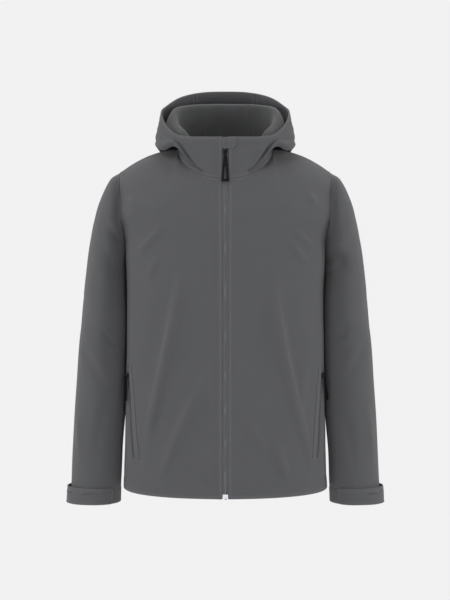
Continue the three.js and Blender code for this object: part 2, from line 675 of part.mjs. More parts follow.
// A pull tab in its own frame: x along its hinge, y up the zip, z away from the cloth, the hinge at the
// origin.
function pullerGeometry({ length, neck, neckHalf, shoulderHalf, bottomHalf, slotFrom, rim }) {
  const outline = new THREE.Shape();
  outline.moveTo(-neckHalf, 0);
  outline.lineTo(-neckHalf, -neck);
  outline.lineTo(-shoulderHalf, -neck - PULLER_SHOULDER_DROP);
  outline.lineTo(-bottomHalf, -length + PULLER_CORNER);
  outline.quadraticCurveTo(-bottomHalf, -length, -bottomHalf + PULLER_CORNER, -length);
  outline.lineTo(bottomHalf - PULLER_CORNER, -length);
  outline.quadraticCurveTo(bottomHalf, -length, bottomHalf, -length + PULLER_CORNER);
  outline.lineTo(shoulderHalf, -neck - PULLER_SHOULDER_DROP);
  outline.lineTo(neckHalf, -neck);
  outline.lineTo(neckHalf, 0);
  const slot = new THREE.Path();
  const slotHalf = bottomHalf - rim;
  const sill = -length + rim * SLOT_SILL_SHARE;
  slot.moveTo(-slotHalf, sill);
  slot.lineTo(slotHalf, sill);
  slot.lineTo(slotHalf * SLOT_TOP_SHARE, -slotFrom);
  slot.lineTo(-slotHalf * SLOT_TOP_SHARE, -slotFrom);
  slot.closePath();
  outline.holes.push(slot);
  const plate = new THREE.ExtrudeGeometry(outline, { depth: PULLER_THICKNESS, bevelEnabled: false, curveSegments: 3 });
  plate.translate(0, 0, -PULLER_THICKNESS / 2);
  const barrel = new THREE.CylinderGeometry(PULLER_BARREL, PULLER_BARREL, 2 * neckHalf, 12).rotateZ(Math.PI / 2);
  return joined(plate, barrel);
}

// A slider in the same frame: a base on the tape and two ears beside the tab's barrel.
function sliderGeometry() {
  const outline = new THREE.Shape();
  const floor = -PULLER_BARREL - SEAM_GAP - SLIDER.base;
  const ear = floor + SLIDER.ear;
  outline.moveTo(-SLIDER.half, floor);
  outline.lineTo(SLIDER.half, floor);
  outline.lineTo(SLIDER.half, ear);
  outline.lineTo(SLIDER.earInner, ear);
  outline.lineTo(SLIDER.earInner, floor + SLIDER.base);
  outline.lineTo(-SLIDER.earInner, floor + SLIDER.base);
  outline.lineTo(-SLIDER.earInner, ear);
  outline.lineTo(-SLIDER.half, ear);
  outline.closePath();
  const body = new THREE.ExtrudeGeometry(outline, { depth: SLIDER.length, bevelEnabled: false });
  return body.rotateX(Math.PI / 2).translate(0, SLIDER.length / 2, 0);
}
const SLIDER_SEAT = PULLER_BARREL + SEAM_GAP + SLIDER.base;

// Places a slider and its pull tab: `seat` is on the tape, `up` runs up the zip, `out` away from the cloth.
function addPull(names, seat, up, out, sizes) {
  const y = up.clone().normalize();
  const z = out.clone().addScaledVector(y, -out.dot(y)).normalize();
  const hinge = seat.clone().addScaledVector(z, SLIDER_SEAT + SEAM_GAP);
  const frame = new THREE.Matrix4().makeBasis(y.clone().cross(z), y, z).setPosition(hinge);
  addPiece(names.slider, sliderGeometry(), sliderMaterial()).applyMatrix4(frame);
  const puller = pullerGeometry(sizes).rotateX(-radians(sizes.lean));
  addPiece(names.puller, puller, rubberMaterial()).applyMatrix4(frame);
}

for (const { name, sign } of SIDES) {
  const wall = clothWall(tapeGrid(sign), { lift: -TAPE_DEPTH, thickness: TAPE_WALL });
  addPiece(`zip_tape_${name}`, wall, tapeMaterial());
}
addPiece(
  "chin_guard",
  clothWall(chinGuardGrid(), { lift: CHIN_GUARD.lift, thickness: TRIM_WALL }),
  clothMaterial(),
);
for (const { name, sign } of SIDES) {
  const tab = clothWall(cuffTabGrid(sign), {
    lift: SEAM_GAP + TRIM_WALL,
    thickness: TRIM_WALL,
    proud: cuffTabProud(sign),
  });
  addPiece(`cuff_tab_${name}`, tab, clothMaterial());
}

const collarBottom = hoodPoint(0, 0);
const collarTop = hoodPoint(0, 1);
const collarUp = collarTop.clone().sub(collarBottom).setX(0).normalize();
const collarOut = vector(0, -collarUp.z, collarUp.y);
const sliderShare = (MAIN_SLIDER_HEIGHT - collarBottom.z) / (collarTop.z - collarBottom.z);
const collarAtSlider = collarBottom.clone().lerp(collarTop, sliderShare).setX(0);
const mainSeat = collarAtSlider.addScaledVector(collarOut, -TAPE_DEPTH);
addPull({ slider: "zip_slider", puller: "zip_puller" }, mainSeat, collarUp, collarOut, MAIN_PULLER);

const hemMiddle = bodyPoint(0, 0, false).setX(0);
const endBox = new THREE.BoxGeometry(2 * END_BOX.half, END_BOX.depth, END_BOX.height);
const endBoxBack = hemMiddle.y + TAPE_DEPTH - SEAM_GAP;
endBox.translate(0, endBoxBack - END_BOX.depth / 2, hemMiddle.z + END_BOX.riseOverHem + END_BOX.height / 2);
addPiece("zip_end_box", endBox, endBoxMaterial());

for (const { name, sign } of SIDES) {
  const zipHalf = POCKET.zipWidth / 2;
  const zipStrip = pocketStrip(sign, -zipHalf, zipHalf);
  const zipWall = clothWall(zipStrip, { lift: SEAM_GAP + TAPE_WALL, thickness: TAPE_WALL });
  addPiece(`pocket_zip_${name}`, zipWall, tapeMaterial());
  const weltStrip = pocketStrip(sign, -POCKET.weltFrom - POCKET.weltWidth, -POCKET.weltFrom);
  const weltWall = clothWall(weltStrip, { lift: SEAM_GAP + TRIM_WALL, thickness: TRIM_WALL });
  addPiece(`pocket_welt_${name}`, weltWall, clothMaterial());
  const row = Math.round(POCKET.rows * (1 - POCKET_SLIDER_SHARE));
  const seat = zipStrip[row][1].clone();
  const normal = gridNormals(zipStrip, false)[row][1];
  seat.addScaledVector(normal, SEAM_GAP + TAPE_WALL);
  const up = vector(0, 0, 1);
  if (sign > 0) up.applyAxisAngle(normal, radians(LEFT_POCKET_TILT));
  up.addScaledVector(normal, -up.dot(normal));
  const names = { slider: `pocket_slider_${name}`, puller: `pocket_puller_${name}` };
  addPull(names, seat, up, normal, POCKET_PULLER);
}

export default jacket;
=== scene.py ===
"""A men's hooded softshell jacket, zipped up and filled out, with its hood folded back.

The frame gives the places and the sizes. Here the cloth, seams, zips and trim get their real form and
finish. The tables are in millimetres and the meshes in metres. -Y is the front, +X the wearer's left and
+Z up.
"""

import logging
import math
from dataclasses import dataclass, field
from enum import Enum
from typing import Callable, Iterable, NamedTuple, Sequence

import bmesh
import bpy
import numpy as np
from mathutils import Matrix, Vector


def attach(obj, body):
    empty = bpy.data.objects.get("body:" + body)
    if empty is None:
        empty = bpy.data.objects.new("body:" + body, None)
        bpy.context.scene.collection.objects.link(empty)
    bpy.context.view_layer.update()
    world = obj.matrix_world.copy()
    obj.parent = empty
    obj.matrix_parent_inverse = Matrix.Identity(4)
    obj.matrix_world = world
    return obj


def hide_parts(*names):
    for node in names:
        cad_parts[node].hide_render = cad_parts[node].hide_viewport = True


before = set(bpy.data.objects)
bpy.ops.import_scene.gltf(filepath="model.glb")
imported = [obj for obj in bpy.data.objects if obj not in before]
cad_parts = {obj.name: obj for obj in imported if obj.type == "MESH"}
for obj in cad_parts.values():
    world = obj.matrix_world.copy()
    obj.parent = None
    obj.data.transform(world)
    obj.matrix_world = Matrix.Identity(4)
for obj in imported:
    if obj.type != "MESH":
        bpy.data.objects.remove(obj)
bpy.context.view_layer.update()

LOG = logging.getLogger("softshell_jacket")
METRES = 0.001  # one millimetre of the tables
Array = np.ndarray
ROOT_BODY = "jacket"
HALF_TURN = 180

# Cloth, in millimetres
WALL = 2.0
TRIM_WALL = 1.6
TAPE_WALL = 1.0
SEAM_GAP = 0.3
ZIP_HALF_WIDTH = 6.5
CLOTH_PITCH = 4.2
OUT_OF_REACH = 1e3
SEAM_STEPS = (0.0, 0.35, 0.8, 1.4, 2.2, 3.4, 5.4, 7.6, 10.4)

# Stitches, in millimetres
STITCH_PITCH = 3.4
STITCH_LENGTH = 2.5
THREAD_WIDTH = 0.6
STITCH_SINK = 0.12


# Curves and surfaces


def smooth_through(knots: Sequence[float], values: Array, at: Array) -> Array:
    """The value at each place of a smooth curve through the knots, level where the numbers turn back.

    Args:
        knots: The places of the numbers, rising.
        values: One number for each knot, or a row of them for each knot with a column for each place.
        at: The places.

    Returns:
        One number or point for each place.
    """
    knots = np.asarray(knots, float)
    values = np.asarray(values, float)
    at = np.atleast_1d(np.asarray(at, float))
    wide = values.reshape(len(knots), 1 if values.ndim == 1 else len(at), -1)
    span = np.diff(knots)
    slopes = np.empty_like(wide)
    rises = np.diff(wide, axis=0)
    slopes[1:-1] = (wide[2:] - wide[:-2]) / (knots[2:] - knots[:-2])[:, None, None]
    slopes[1:-1][rises[1:] * rises[:-1] <= 0] = 0
    slopes[0], slopes[-1] = rises[0] / span[0], rises[-1] / span[-1]
    low = np.clip(np.searchsorted(knots, at, side="left") - 1, 0, len(knots) - 2)
    column = np.zeros(len(at), int) if wide.shape[1] == 1 else np.arange(len(at))
    t = ((at - knots[low]) / span[low])[:, None]
    t2, t3 = t * t, t * t * t
    width = span[low][:, None]
    found = (
        (2 * t3 - 3 * t2 + 1) * wide[low, column]
        + (t3 - 2 * t2 + t) * width * slopes[low, column]
        + (3 * t2 - 2 * t3) * wide[low + 1, column]
        + (t3 - t2) * width * slopes[low + 1, column]
    )
    return found[:, 0] if found.shape[1] == 1 else found


def mix(a: float | Array, b: float | Array, share: float | Array) -> float | Array:
    """The value that share of the way from a to b."""
    return a + (b - a) * share


def ease(value: Array, start: float, end: float) -> Array:
    """0 before start, 1 after end, and a soft step between them."""
    t = np.clip((value - start) / (end - start), 0, 1)
    return t * t * (3 - 2 * t)


def unit(vectors: Array) -> Array:
    """The vectors at length one."""
    return vectors / np.maximum(np.linalg.norm(vectors, axis=-1, keepdims=True), 1e-9)


def paired(across: float | Array, up: float | Array) -> Sequence[Array]:
    """Two parameters as arrays of one length."""
    return np.broadcast_arrays(np.atleast_1d(across).astype(float), np.atleast_1d(up).astype(float))


class Border(Enum):
    """The four borders of a stretch of cloth."""

    START = "start"
    END = "end"
    BOTTOM = "bottom"
    TOP = "top"


class ClothSurface:
    """A stretch of cloth as a grid of points over two parameters, in millimetres."""

    def __init__(
        self, columns: Array, rows: Array, shape: Callable[[Array, Array], Array], tube: bool = False
    ) -> None:
        """Works out the points.

        Args:
            columns: The first parameter, rising, from the start border to the end border.
            rows: The second parameter, rising, from the bottom to the top.
            shape: Gives the point for each pair of parameters.
            tube: Whether the end border is the start border again.
        """
        self.columns = np.asarray(columns, float)
        self.rows = np.asarray(rows, float)
        self.tube = tube
        across, up = np.meshgrid(self.columns, self.rows)
        self.across, self.up = across, up
        self.points = shape(across.ravel(), up.ravel()).reshape(*across.shape, 3)
        self.inner = self.points.copy()

    def normals(self) -> Array:
        """The outward direction at each point."""
        points = self.points
        if self.tube:
            around = np.concatenate([points[:, -2:-1], points, points[:, 1:2]], axis=1)
            across = around[:, 2:] - around[:, :-2]
        else:
            across = np.gradient(points, axis=1)
        return unit(np.cross(across, np.gradient(points, axis=0)))

    def push(self, amount: Array) -> None:
        """Moves the points outwards, or inwards where the amount is below 0."""
        self.points = self.points + self.normals() * amount[..., None]

    def give_wall(self, thickness: float) -> None:
        """Keeps the inner face's points, a wall's thickness inside the outer ones."""
        self.inner = self.points - self.normals() * thickness

    def distance_from(self, border: Border) -> Array:
        """How far each point lies from a border, along the cloth."""
        axis = 1 if border in (Border.START, Border.END) else 0
        lengths = np.linalg.norm(np.diff(self.points, axis=axis), axis=2)
        gone = np.concatenate([np.zeros_like(np.take(lengths, [0], axis)), np.cumsum(lengths, axis)], axis)
        if border in (Border.START, Border.BOTTOM):
            return gone
        return np.take(gone, [-1], axis) - gone

    def nearest(self, borders: Iterable[Border], none: float = OUT_OF_REACH) -> Array:
        """How far each point lies from the nearest of some borders."""
        found = [self.distance_from(border) for border in borders]
        return np.min(found, axis=0) if found else np.full(self.points.shape[:2], none)

    def place(self, across: Array, up: Array, lift: float | Array = 0.0) -> Array:
        """Points on the cloth.

        Args:
            across: The first parameter of each.
            up: The second parameter of each.
            lift: How far outside the cloth they lie.

        Returns:
            One point for each pair.
        """
        lifted = self.direction(across, up) * np.reshape(lift, (-1, 1))
        return self._between(self.points, across, up) + lifted

    def inner_place(self, across: Array, up: Array) -> Array:
        """Points on the inner face."""
        return self._between(self.inner, across, up)

    def direction(self, across: Array, up: Array) -> Array:
        """The outward direction at places on the cloth."""
        return unit(self._between(self.normals(), across, up))

    def _between(self, table: Array, across: Array, up: Array) -> Array:
        """The table's value between its grid points."""
        across, up = paired(across, up)
        i = np.clip(np.searchsorted(self.columns, across) - 1, 0, len(self.columns) - 2)
        j = np.clip(np.searchsorted(self.rows, up) - 1, 0, len(self.rows) - 2)
        s = ((across - self.columns[i]) / (self.columns[i + 1] - self.columns[i]))[:, None]
        t = ((up - self.rows[j]) / (self.rows[j + 1] - self.rows[j]))[:, None]
        low = mix(table[j, i], table[j, i + 1], s)
        high = mix(table[j + 1, i], table[j + 1, i + 1], s)
        return mix(low, high, t)


def shares_over(length: float, pitch: float, fine_start: bool = True, fine_end: bool = True) -> Array:
    """Places from 0 to 1 over a length, close together at the ends that are sewn.

    Args:
        length: The length in millimetres.
        pitch: The distance of the places in the middle.
        fine_start: Whether the start has the close places of a seam.
        fine_end: The same for the end.

    Returns:
        The places, rising.
    """
    start = np.array(SEAM_STEPS if fine_start else (0.0,))
    end = np.array(SEAM_STEPS if fine_end else (0.0,))
    middle = length - start[-1] - end[-1]
    inside = start[-1] + np.linspace(0, middle, max(2, round(middle / pitch) + 1))[1:-1]
    return np.concatenate([start, inside, length - end[::-1]]) / length


class Crease(NamedTuple):
    """A soft ridge, or a trough where its height is below 0, through three places of the cloth's plan."""

    x0: float
    z0: float
    x1: float
    z1: float
    x2: float
    z2: float
    width: float
    height: float


CREASE_STRETCHES = 20
CREASE_FULLNESS = 0.75


def crease_lift(creases: Iterable[Crease], x: Array, z: Array) -> Array:
    """How far creases lift the cloth.

    Args:
        creases: The ridges and troughs.
        x: The first place of each point in the cloth's plan.
        z: The second place.

    Returns:
        One height for each point.
    """
    place = np.stack([x.ravel(), z.ravel()], axis=1)
    lift = np.zeros(len(place))
    for crease in creases:
        t = np.linspace(0, 1, CREASE_STRETCHES + 1)[:, None]
        first, middle, last = (np.array(crease[k : k + 2], float) for k in (0, 2, 4))
        bend = 2 * middle - (first + last) / 2
        line = first * (1 - t) ** 2 + bend * 2 * t * (1 - t) + last * t**2
        reach = 3 * crease.width
        near = np.all((place > line.min(0) - reach) & (place < line.max(0) + reach), axis=1)
        if not near.any():
            continue
        step = np.diff(line, axis=0)
        offset = place[near][:, None] - line[None, :-1]
        along = np.clip((offset * step).sum(2) / (step * step).sum(1), 0, 1)
        apart = np.linalg.norm(offset - along[..., None] * step, axis=2)
        best = apart.argmin(1)
        rows = np.arange(len(best))
        share = (best + along[rows, best]) / CREASE_STRETCHES
        height = crease.height * np.sin(np.pi * share) ** CREASE_FULLNESS
        lift[near] += height * np.exp(-((apart[rows, best] / crease.width) ** 2))
    return lift.reshape(x.shape)


def soft_waves(x: Array, z: Array, height: float, length: float, turn: float) -> Array:
    """A faint unevenness of the cloth, from a few crossing waves.

    Args:
        x: The first place of each point in the cloth's plan.
        z: The second place.
        height: The height of the waves.
        length: The length of the longest wave.
        turn: Where the waves start, so that no two pieces are alike.

    Returns:
        One height for each point.
    """
    waves = ((1.0, 0.4, 1.0), (0.62, 1.9, 0.7), (0.41, 4.4, 0.5), (0.77, 2.9, 0.6))
    total = np.zeros_like(x)
    for share, angle, weight in waves:
        run = (x * math.cos(angle + turn) + z * math.sin(angle + turn)) / (length * share)
        total += weight * np.sin(2 * math.pi * run + turn * 7 + angle * 5)
    return total * height / sum(weight for _, _, weight in waves)


# The jacket's form


class BodyLevel(NamedTuple):
    """One level of the body: its place, its side's height, its middle's drop and its sizes."""

    at: float
    rise: float
    drop: float
    half: float
    front: float
    back: float
    wrap: float
    edge_front: float
    edge_back: float


ARMPIT_AT = 0.66
BODY_LEVELS = (
    BodyLevel(0.0, -697, 9, 212, 130, 112, 90, 4, 4),
    BodyLevel(0.13, -600, 7, 209, 132, 114, 90, 4, 4),
    BodyLevel(0.33, -450, 4, 206, 130, 108, 90, 4, 4),
    BodyLevel(0.53, -300, 0, 205, 134, 117, 90, 4, 4),
    BodyLevel(ARMPIT_AT, -199, 0, 208, 132, 120, 90, 4, 4),
    BodyLevel(0.69, -184, 0, 209, 130, 121, 80, -30, 44),
    BodyLevel(0.76, -136, 2, 213, 124, 121, 68, -57, 75),
    BodyLevel(0.83, -92, 4, 217, 113, 114, 56, -42, 58),
)
ARMPIT_HALF = next(level.half for level in BODY_LEVELS if level.at == ARMPIT_AT)
YOKE_STEPS = ((0.88, 0.33), (0.94, 0.7), (1.0, 1.0))
BODY_KNOTS = (*(level.at for level in BODY_LEVELS), *(at for at, _ in YOKE_STEPS))
SHOULDER_TIP = np.array((221.0, 8.0, -43.0))
SHOULDER_ARCH = 11.7
NECK_SHARE = 0.45
FRONT_FULLNESS = 0.66
BACK_FULLNESS = 0.7
YOKE_SWELL_AT_NECK = 12.0
YOKE_SWELL_AT_TIP = 9.0
YOKE_SWELL_OUT = 0.75
YOKE_SWELL_UP = 0.66


class Fold(NamedTuple):
    """A large soft fold of the body in the front view: its side, three places, half width and height."""

    side: int
    x0: float
    z0: float
    x1: float
    z1: float
    x2: float
    z2: float
    width: float
    height: float


FOLD_FULLNESS = 0.7
FRONT_FOLDS = (
    Fold(-1, 86, -262, 118, -420, 176, -628, 21, 4.5),
    Fold(-1, 36, -452, 84, -560, 126, -668, 20, 3.5),
    Fold(1, 92, -262, 118, -440, 174, -632, 21, 4.5),
    Fold(1, 98, -592, 110, -628, 122, -664, 19, 3.5),
)
BACK_FOLDS = (
    Fold(-1, 60, -300, 96, -440, 150, -640, 24, 4),
    Fold(1, 48, -360, 88, -500, 128, -660, 24, 4),
)


class SleeveRing(NamedTuple):
    """One ring of a sleeve: its place, its outer and inner point in the front view, and its depth."""

    at: float
    outer_x: float
    outer_z: float
    inner_x: float
    inner_z: float
    middle_y: float
    half_depth: float


SLEEVE_RINGS = (
    SleeveRing(0.04, 240, -56, 213.5, -208, 9, 73),
    SleeveRing(0.11, 262, -100, 216, -224, 8, 78),
    SleeveRing(0.18, 276, -145, 214.5, -250, 7, 79),
    SleeveRing(0.27, 286, -205, 213.5, -292, 5, 77),
    SleeveRing(0.37, 294, -275, 213.5, -340, 2, 73),
    SleeveRing(0.48, 301, -350, 213.5, -396, -2, 69),
    SleeveRing(0.62, 308, -445, 214.5, -475, -8, 62),
    SleeveRing(0.76, 314, -545, 216, -560, -12, 57),
    SleeveRing(0.9, 319, -648, 218, -653, -15, 51),
    SleeveRing(1.0, 322, -730, 219, -730, -17, 46),
)


class SleeveDent(NamedTuple):
    """A soft dent of a sleeve, or a bulge: its place along and round it, its lengths and its depth."""

    at: float
    turn: float
    along: float
    round: float
    depth: float


SLEEVE_DENTS = (
    SleeveDent(0.2, 70, 0.05, 60, 5),
    SleeveDent(0.46, 60, 0.05, 55, 5),
    SleeveDent(0.55, 110, 0.04, 50, 4),
    SleeveDent(0.5, 250, 0.05, 60, 4),
    SleeveDent(0.52, 210, 0.34, 27, -13),
    SleeveDent(0.25, 206, 0.1, 22, -4),
)


class HoodRing(NamedTuple):
    """A ring round the neck in plan: its half width, front and back."""

    half: float
    front: float
    back: float


HOOD_MIDDLE = -10.0
NECK_RING = HoodRing(98, -105, 76)
CREST_RING = HoodRing(109, -82, 55)
LIP_RING = HoodRing(141, -101, 134)
SWELL_RING = HoodRing(142, -103, 140)
EDGE_RING = HoodRing(134, -97, 80)
CREST_DROP = 10.0
LIP_ROLL = (7.0, 7.0, 7.7)
CREST_ROLL = 7.0


class HoodStation(NamedTuple):
    """One direction from the neck's middle, in degrees from the front: its fold's opening and its heights.

    The last number is how far the crest lies flat before it dives.
    """

    angle: float
    fold: float
    neck: float
    crest: float
    lip: float
    edge: float
    shelf: float


HOOD_STATIONS = (
    HoodStation(0, 0, -67, 20, -50, 18, 7),
    HoodStation(22, 0, -61, 24, -44, 19, 7),
    HoodStation(32, 0.3, -53, 28, -24, 21, 9),
    HoodStation(45, 0.9, -43, 34, 4, 27, 11),
    HoodStation(60, 1, -29, 46, -4, 45, 15),
    HoodStation(75, 1, -11, 63, 1, 66, 13),
    HoodStation(90, 1, 4, 80, 9, 84, 9),
    HoodStation(110, 1, 10, 94, -3, 100.5, 8),
    HoodStation(135, 1, 14, 103, -32, 126, 7),
    HoodStation(158, 1, 15.5, 107, -48, 139, 7),
    HoodStation(180, 1, 16, 108, -58, 142, 7),
)
STATIONS_ROUND = (
    HOOD_STATIONS[1]._replace(angle=-HOOD_STATIONS[1].angle),
    *HOOD_STATIONS,
    HOOD_STATIONS[-2]._replace(angle=360 - HOOD_STATIONS[-2].angle),
)
CENTRE_PANEL_FROM = 150 / HALF_TURN
CLOSED_SHARES = (0, 0.05, 0.07, 0.09, 0.11, 0.14, 0.2, 0.6, 1)
PROFILE_AT = (0, 0.14, 0.2, 0.26, 0.5, 0.56, 0.62, 0.8, 1)


def ring_point(ring: HoodRing, turn: Array, height: Array, edge: float) -> Array:
    """Points of a ring round the neck, from its front edge (turn 0) to the middle of the back (1)."""
    start = math.asin(edge / ring.half)
    angle = mix(start, math.pi, turn)
    c = np.cos(angle)
    reach = np.where(c > 0, ring.front - HOOD_MIDDLE, HOOD_MIDDLE - ring.back)
    return np.stack([ring.half * np.sin(angle), HOOD_MIDDLE + c * reach, height + 0 * c], axis=-1)


def station_value(column: str, turn: Array) -> Array:
    """The value of one column of the hood's stations, round the neck."""
    values = np.array([getattr(station, column) for station in STATIONS_ROUND], float)
    return smooth_through([station.angle for station in STATIONS_ROUND], values, turn * HALF_TURN)


def neck_point(turn: Array, edge: float) -> Array:
    """Points of the neck seam."""
    return ring_point(NECK_RING, turn, station_value("neck", turn), edge)


def level_point(level: BodyLevel, across: Array, is_back: bool, edge: float) -> Array:
    """Points of one level of the body, from the zip or the middle of the back (0) to the side (1)."""
    wrap = math.radians(level.wrap)
    fullness = BACK_FULLNESS if is_back else FRONT_FULLNESS
    depth = level.back if is_back else -level.front
    side_y = level.edge_back if is_back else level.edge_front
    angle = mix(math.asin(edge / level.half), wrap, across)
    lowest = max(math.cos(wrap), 0) ** fullness
    swell = (np.maximum(np.cos(angle), 0) ** fullness - lowest) / (1 - lowest)
    x = level.half * np.sin(angle) / math.sin(wrap)
    return np.stack([x, side_y + (depth - side_y) * swell, level.rise - level.drop * swell], axis=-1)


def top_point(across: Array, is_back: bool, edge: float) -> Array:
    """Points of the top edge of a front or the back: the neck seam, then the shoulder seam."""
    on_neck = np.minimum(across / NECK_SHARE, 1)
    neck = neck_point(mix(1, 0.5, on_neck) if is_back else mix(0, 0.5, on_neck), 0 if is_back else edge)
    side = neck_point(np.array([0.5]), ZIP_HALF_WIDTH)
    share = np.clip((across - NECK_SHARE) / (1 - NECK_SHARE), 0, 1)[:, None]
    shoulder = mix(side, SHOULDER_TIP, share)
    shoulder[:, 2] += (SHOULDER_ARCH * 4 * share * (1 - share))[:, 0]
    return np.where((across <= NECK_SHARE)[:, None], neck, shoulder)


def body_point(across: Array, up: Array, is_back: bool, side: int, edge: float) -> Array:
    """Points of the body's outer face.

    Args:
        across: From the zip or the middle of the back (0) to the side (1).
        up: From the hem (0) to the neck and shoulder seam (1).
        is_back: Whether they are on the back.
        side: 1 on the wearer's left, -1 on the right, which has folds of its own.
        edge: How far the panel starts from the middle.

    Returns:
        The points, all with x above 0.
    """
    levels = [level_point(level, across, is_back, edge) for level in BODY_LEVELS]
    top = top_point(across, is_back, edge)
    over = np.where(
        across < NECK_SHARE,
        YOKE_SWELL_AT_NECK * across / NECK_SHARE,
        mix(YOKE_SWELL_AT_NECK, YOKE_SWELL_AT_TIP, (across - NECK_SHARE) / (1 - NECK_SHARE)),
    )
    outward = np.array((0, YOKE_SWELL_OUT if is_back else -YOKE_SWELL_OUT, YOKE_SWELL_UP))
    for _, share in YOKE_STEPS:
        swell = 4 * share * (1 - share) * over
        levels.append(mix(levels[len(BODY_LEVELS) - 1], top, share) + swell[:, None] * outward)
    points = smooth_through(BODY_KNOTS, np.array(levels), up)
    for fold in BACK_FOLDS if is_back else FRONT_FOLDS:
        if fold.side != side:
            continue
        down = np.clip((fold.z0 - points[:, 2]) / (fold.z0 - fold.z2), 0, 1)
        middle = (fold.z0 - fold.z1) / (fold.z0 - fold.z2)
        ridge = smooth_through([0, middle, 1], np.array([fold.x0, fold.x1, fold.x2], float), down)
        off = (points[:, 0] - ridge) / fold.width
        lift = fold.height * np.sin(np.pi * down) ** FOLD_FULLNESS * np.exp(-off * off)
        points[:, 1] += lift if is_back else -lift
    return points


def armhole_point(turn: Array) -> Array:
    """Points of the armhole's edge, in degrees from the shoulder tip by the front, armpit and back."""
    share = np.where(turn > HALF_TURN, 2 * HALF_TURN - turn, turn) / HALF_TURN
    up = mix(1, ARMPIT_AT, share)
    ones = np.ones_like(up)
    front = body_point(ones, up, False, 1, ZIP_HALF_WIDTH)
    back = body_point(ones, up, True, 1, 0)
    return np.where((turn > HALF_TURN)[:, None], back, front)


def sleeve_point(turn: Array, along: Array) -> Array:
    """Points of a sleeve's outer face, by degrees round it and from the armhole (0) to the cuff (1)."""
    angle = np.radians(turn)
    start = armhole_point(turn)
    start[:, 0] = np.maximum(start[:, 0], ARMPIT_HALF) + SEAM_GAP
    rings = [start]
    outward = 0.5 + 0.5 * np.cos(angle)
    for ring in SLEEVE_RINGS:
        x = mix(ring.inner_x, ring.outer_x, outward)
        y = ring.middle_y - ring.half_depth * np.sin(angle)
        rings.append(np.stack([x, y, mix(ring.inner_z, ring.outer_z, outward)], axis=-1))
    places = [ring.at for ring in SLEEVE_RINGS]
    points = smooth_through([0, *places], np.array(rings), along)
    middles_x = np.array([(ring.inner_x + ring.outer_x) / 2 for ring in SLEEVE_RINGS])
    middles_y = np.array([ring.middle_y for ring in SLEEVE_RINGS])
    middle_x = smooth_through(places, middles_x, along)
    middle_y = smooth_through(places, middles_y, along)
    middle = np.stack([middle_x, middle_y, points[:, 2]], axis=-1)
    for dent in SLEEVE_DENTS:
        off = ((along - dent.at) / dent.along) ** 2 + ((turn - dent.turn) / dent.round) ** 2
        inward = unit((middle - points) * np.array((1, 1, 0)))
        points += inward * (dent.depth * np.exp(-off))[:, None]
    return points


def hood_point(turn: Array, up: Array, edge: float = ZIP_HALF_WIDTH) -> Array:
    """Points of the hood's outer face.

    Args:
        turn: Round the neck, from the front edge (0) to the middle of the back (1).
        up: Along the cloth, from the neck seam (0) to the edge of the face opening (1).
        edge: How far the hood starts from the middle.

    Returns:
        The points, all with x above 0.
    """
    fold = np.clip(station_value("fold", turn), 0, 1)[:, None]
    edge_height, lip_height = station_value("edge", turn), station_value("lip", turn)
    neck = neck_point(turn, edge)
    crest = ring_point(CREST_RING, turn, station_value("crest", turn), edge)
    lip = ring_point(LIP_RING, turn, lip_height, edge)
    swell = ring_point(SWELL_RING, turn, (lip_height + edge_height) / 2, edge)
    rim = ring_point(EDGE_RING, turn, edge_height, edge)
    out = unit((lip - crest) * np.array((1, 1, 0)))
    rise = np.array((0.0, 0.0, 1.0))
    opened = (
        neck,
        crest - out * CREST_ROLL - rise * CREST_DROP,
        crest,
        crest + out * station_value("shelf", turn)[:, None] - rise * CREST_DROP,
        lip - out * LIP_ROLL[0] + rise * LIP_ROLL[1],
        lip,
        lip + out * LIP_ROLL[0] + rise * LIP_ROLL[2],
        swell,
        rim,
    )
    profile = [mix(mix(neck, rim, share), point, fold) for share, point in zip(CLOSED_SHARES, opened)]
    return smooth_through(PROFILE_AT, np.array(profile), up)


# Finishes


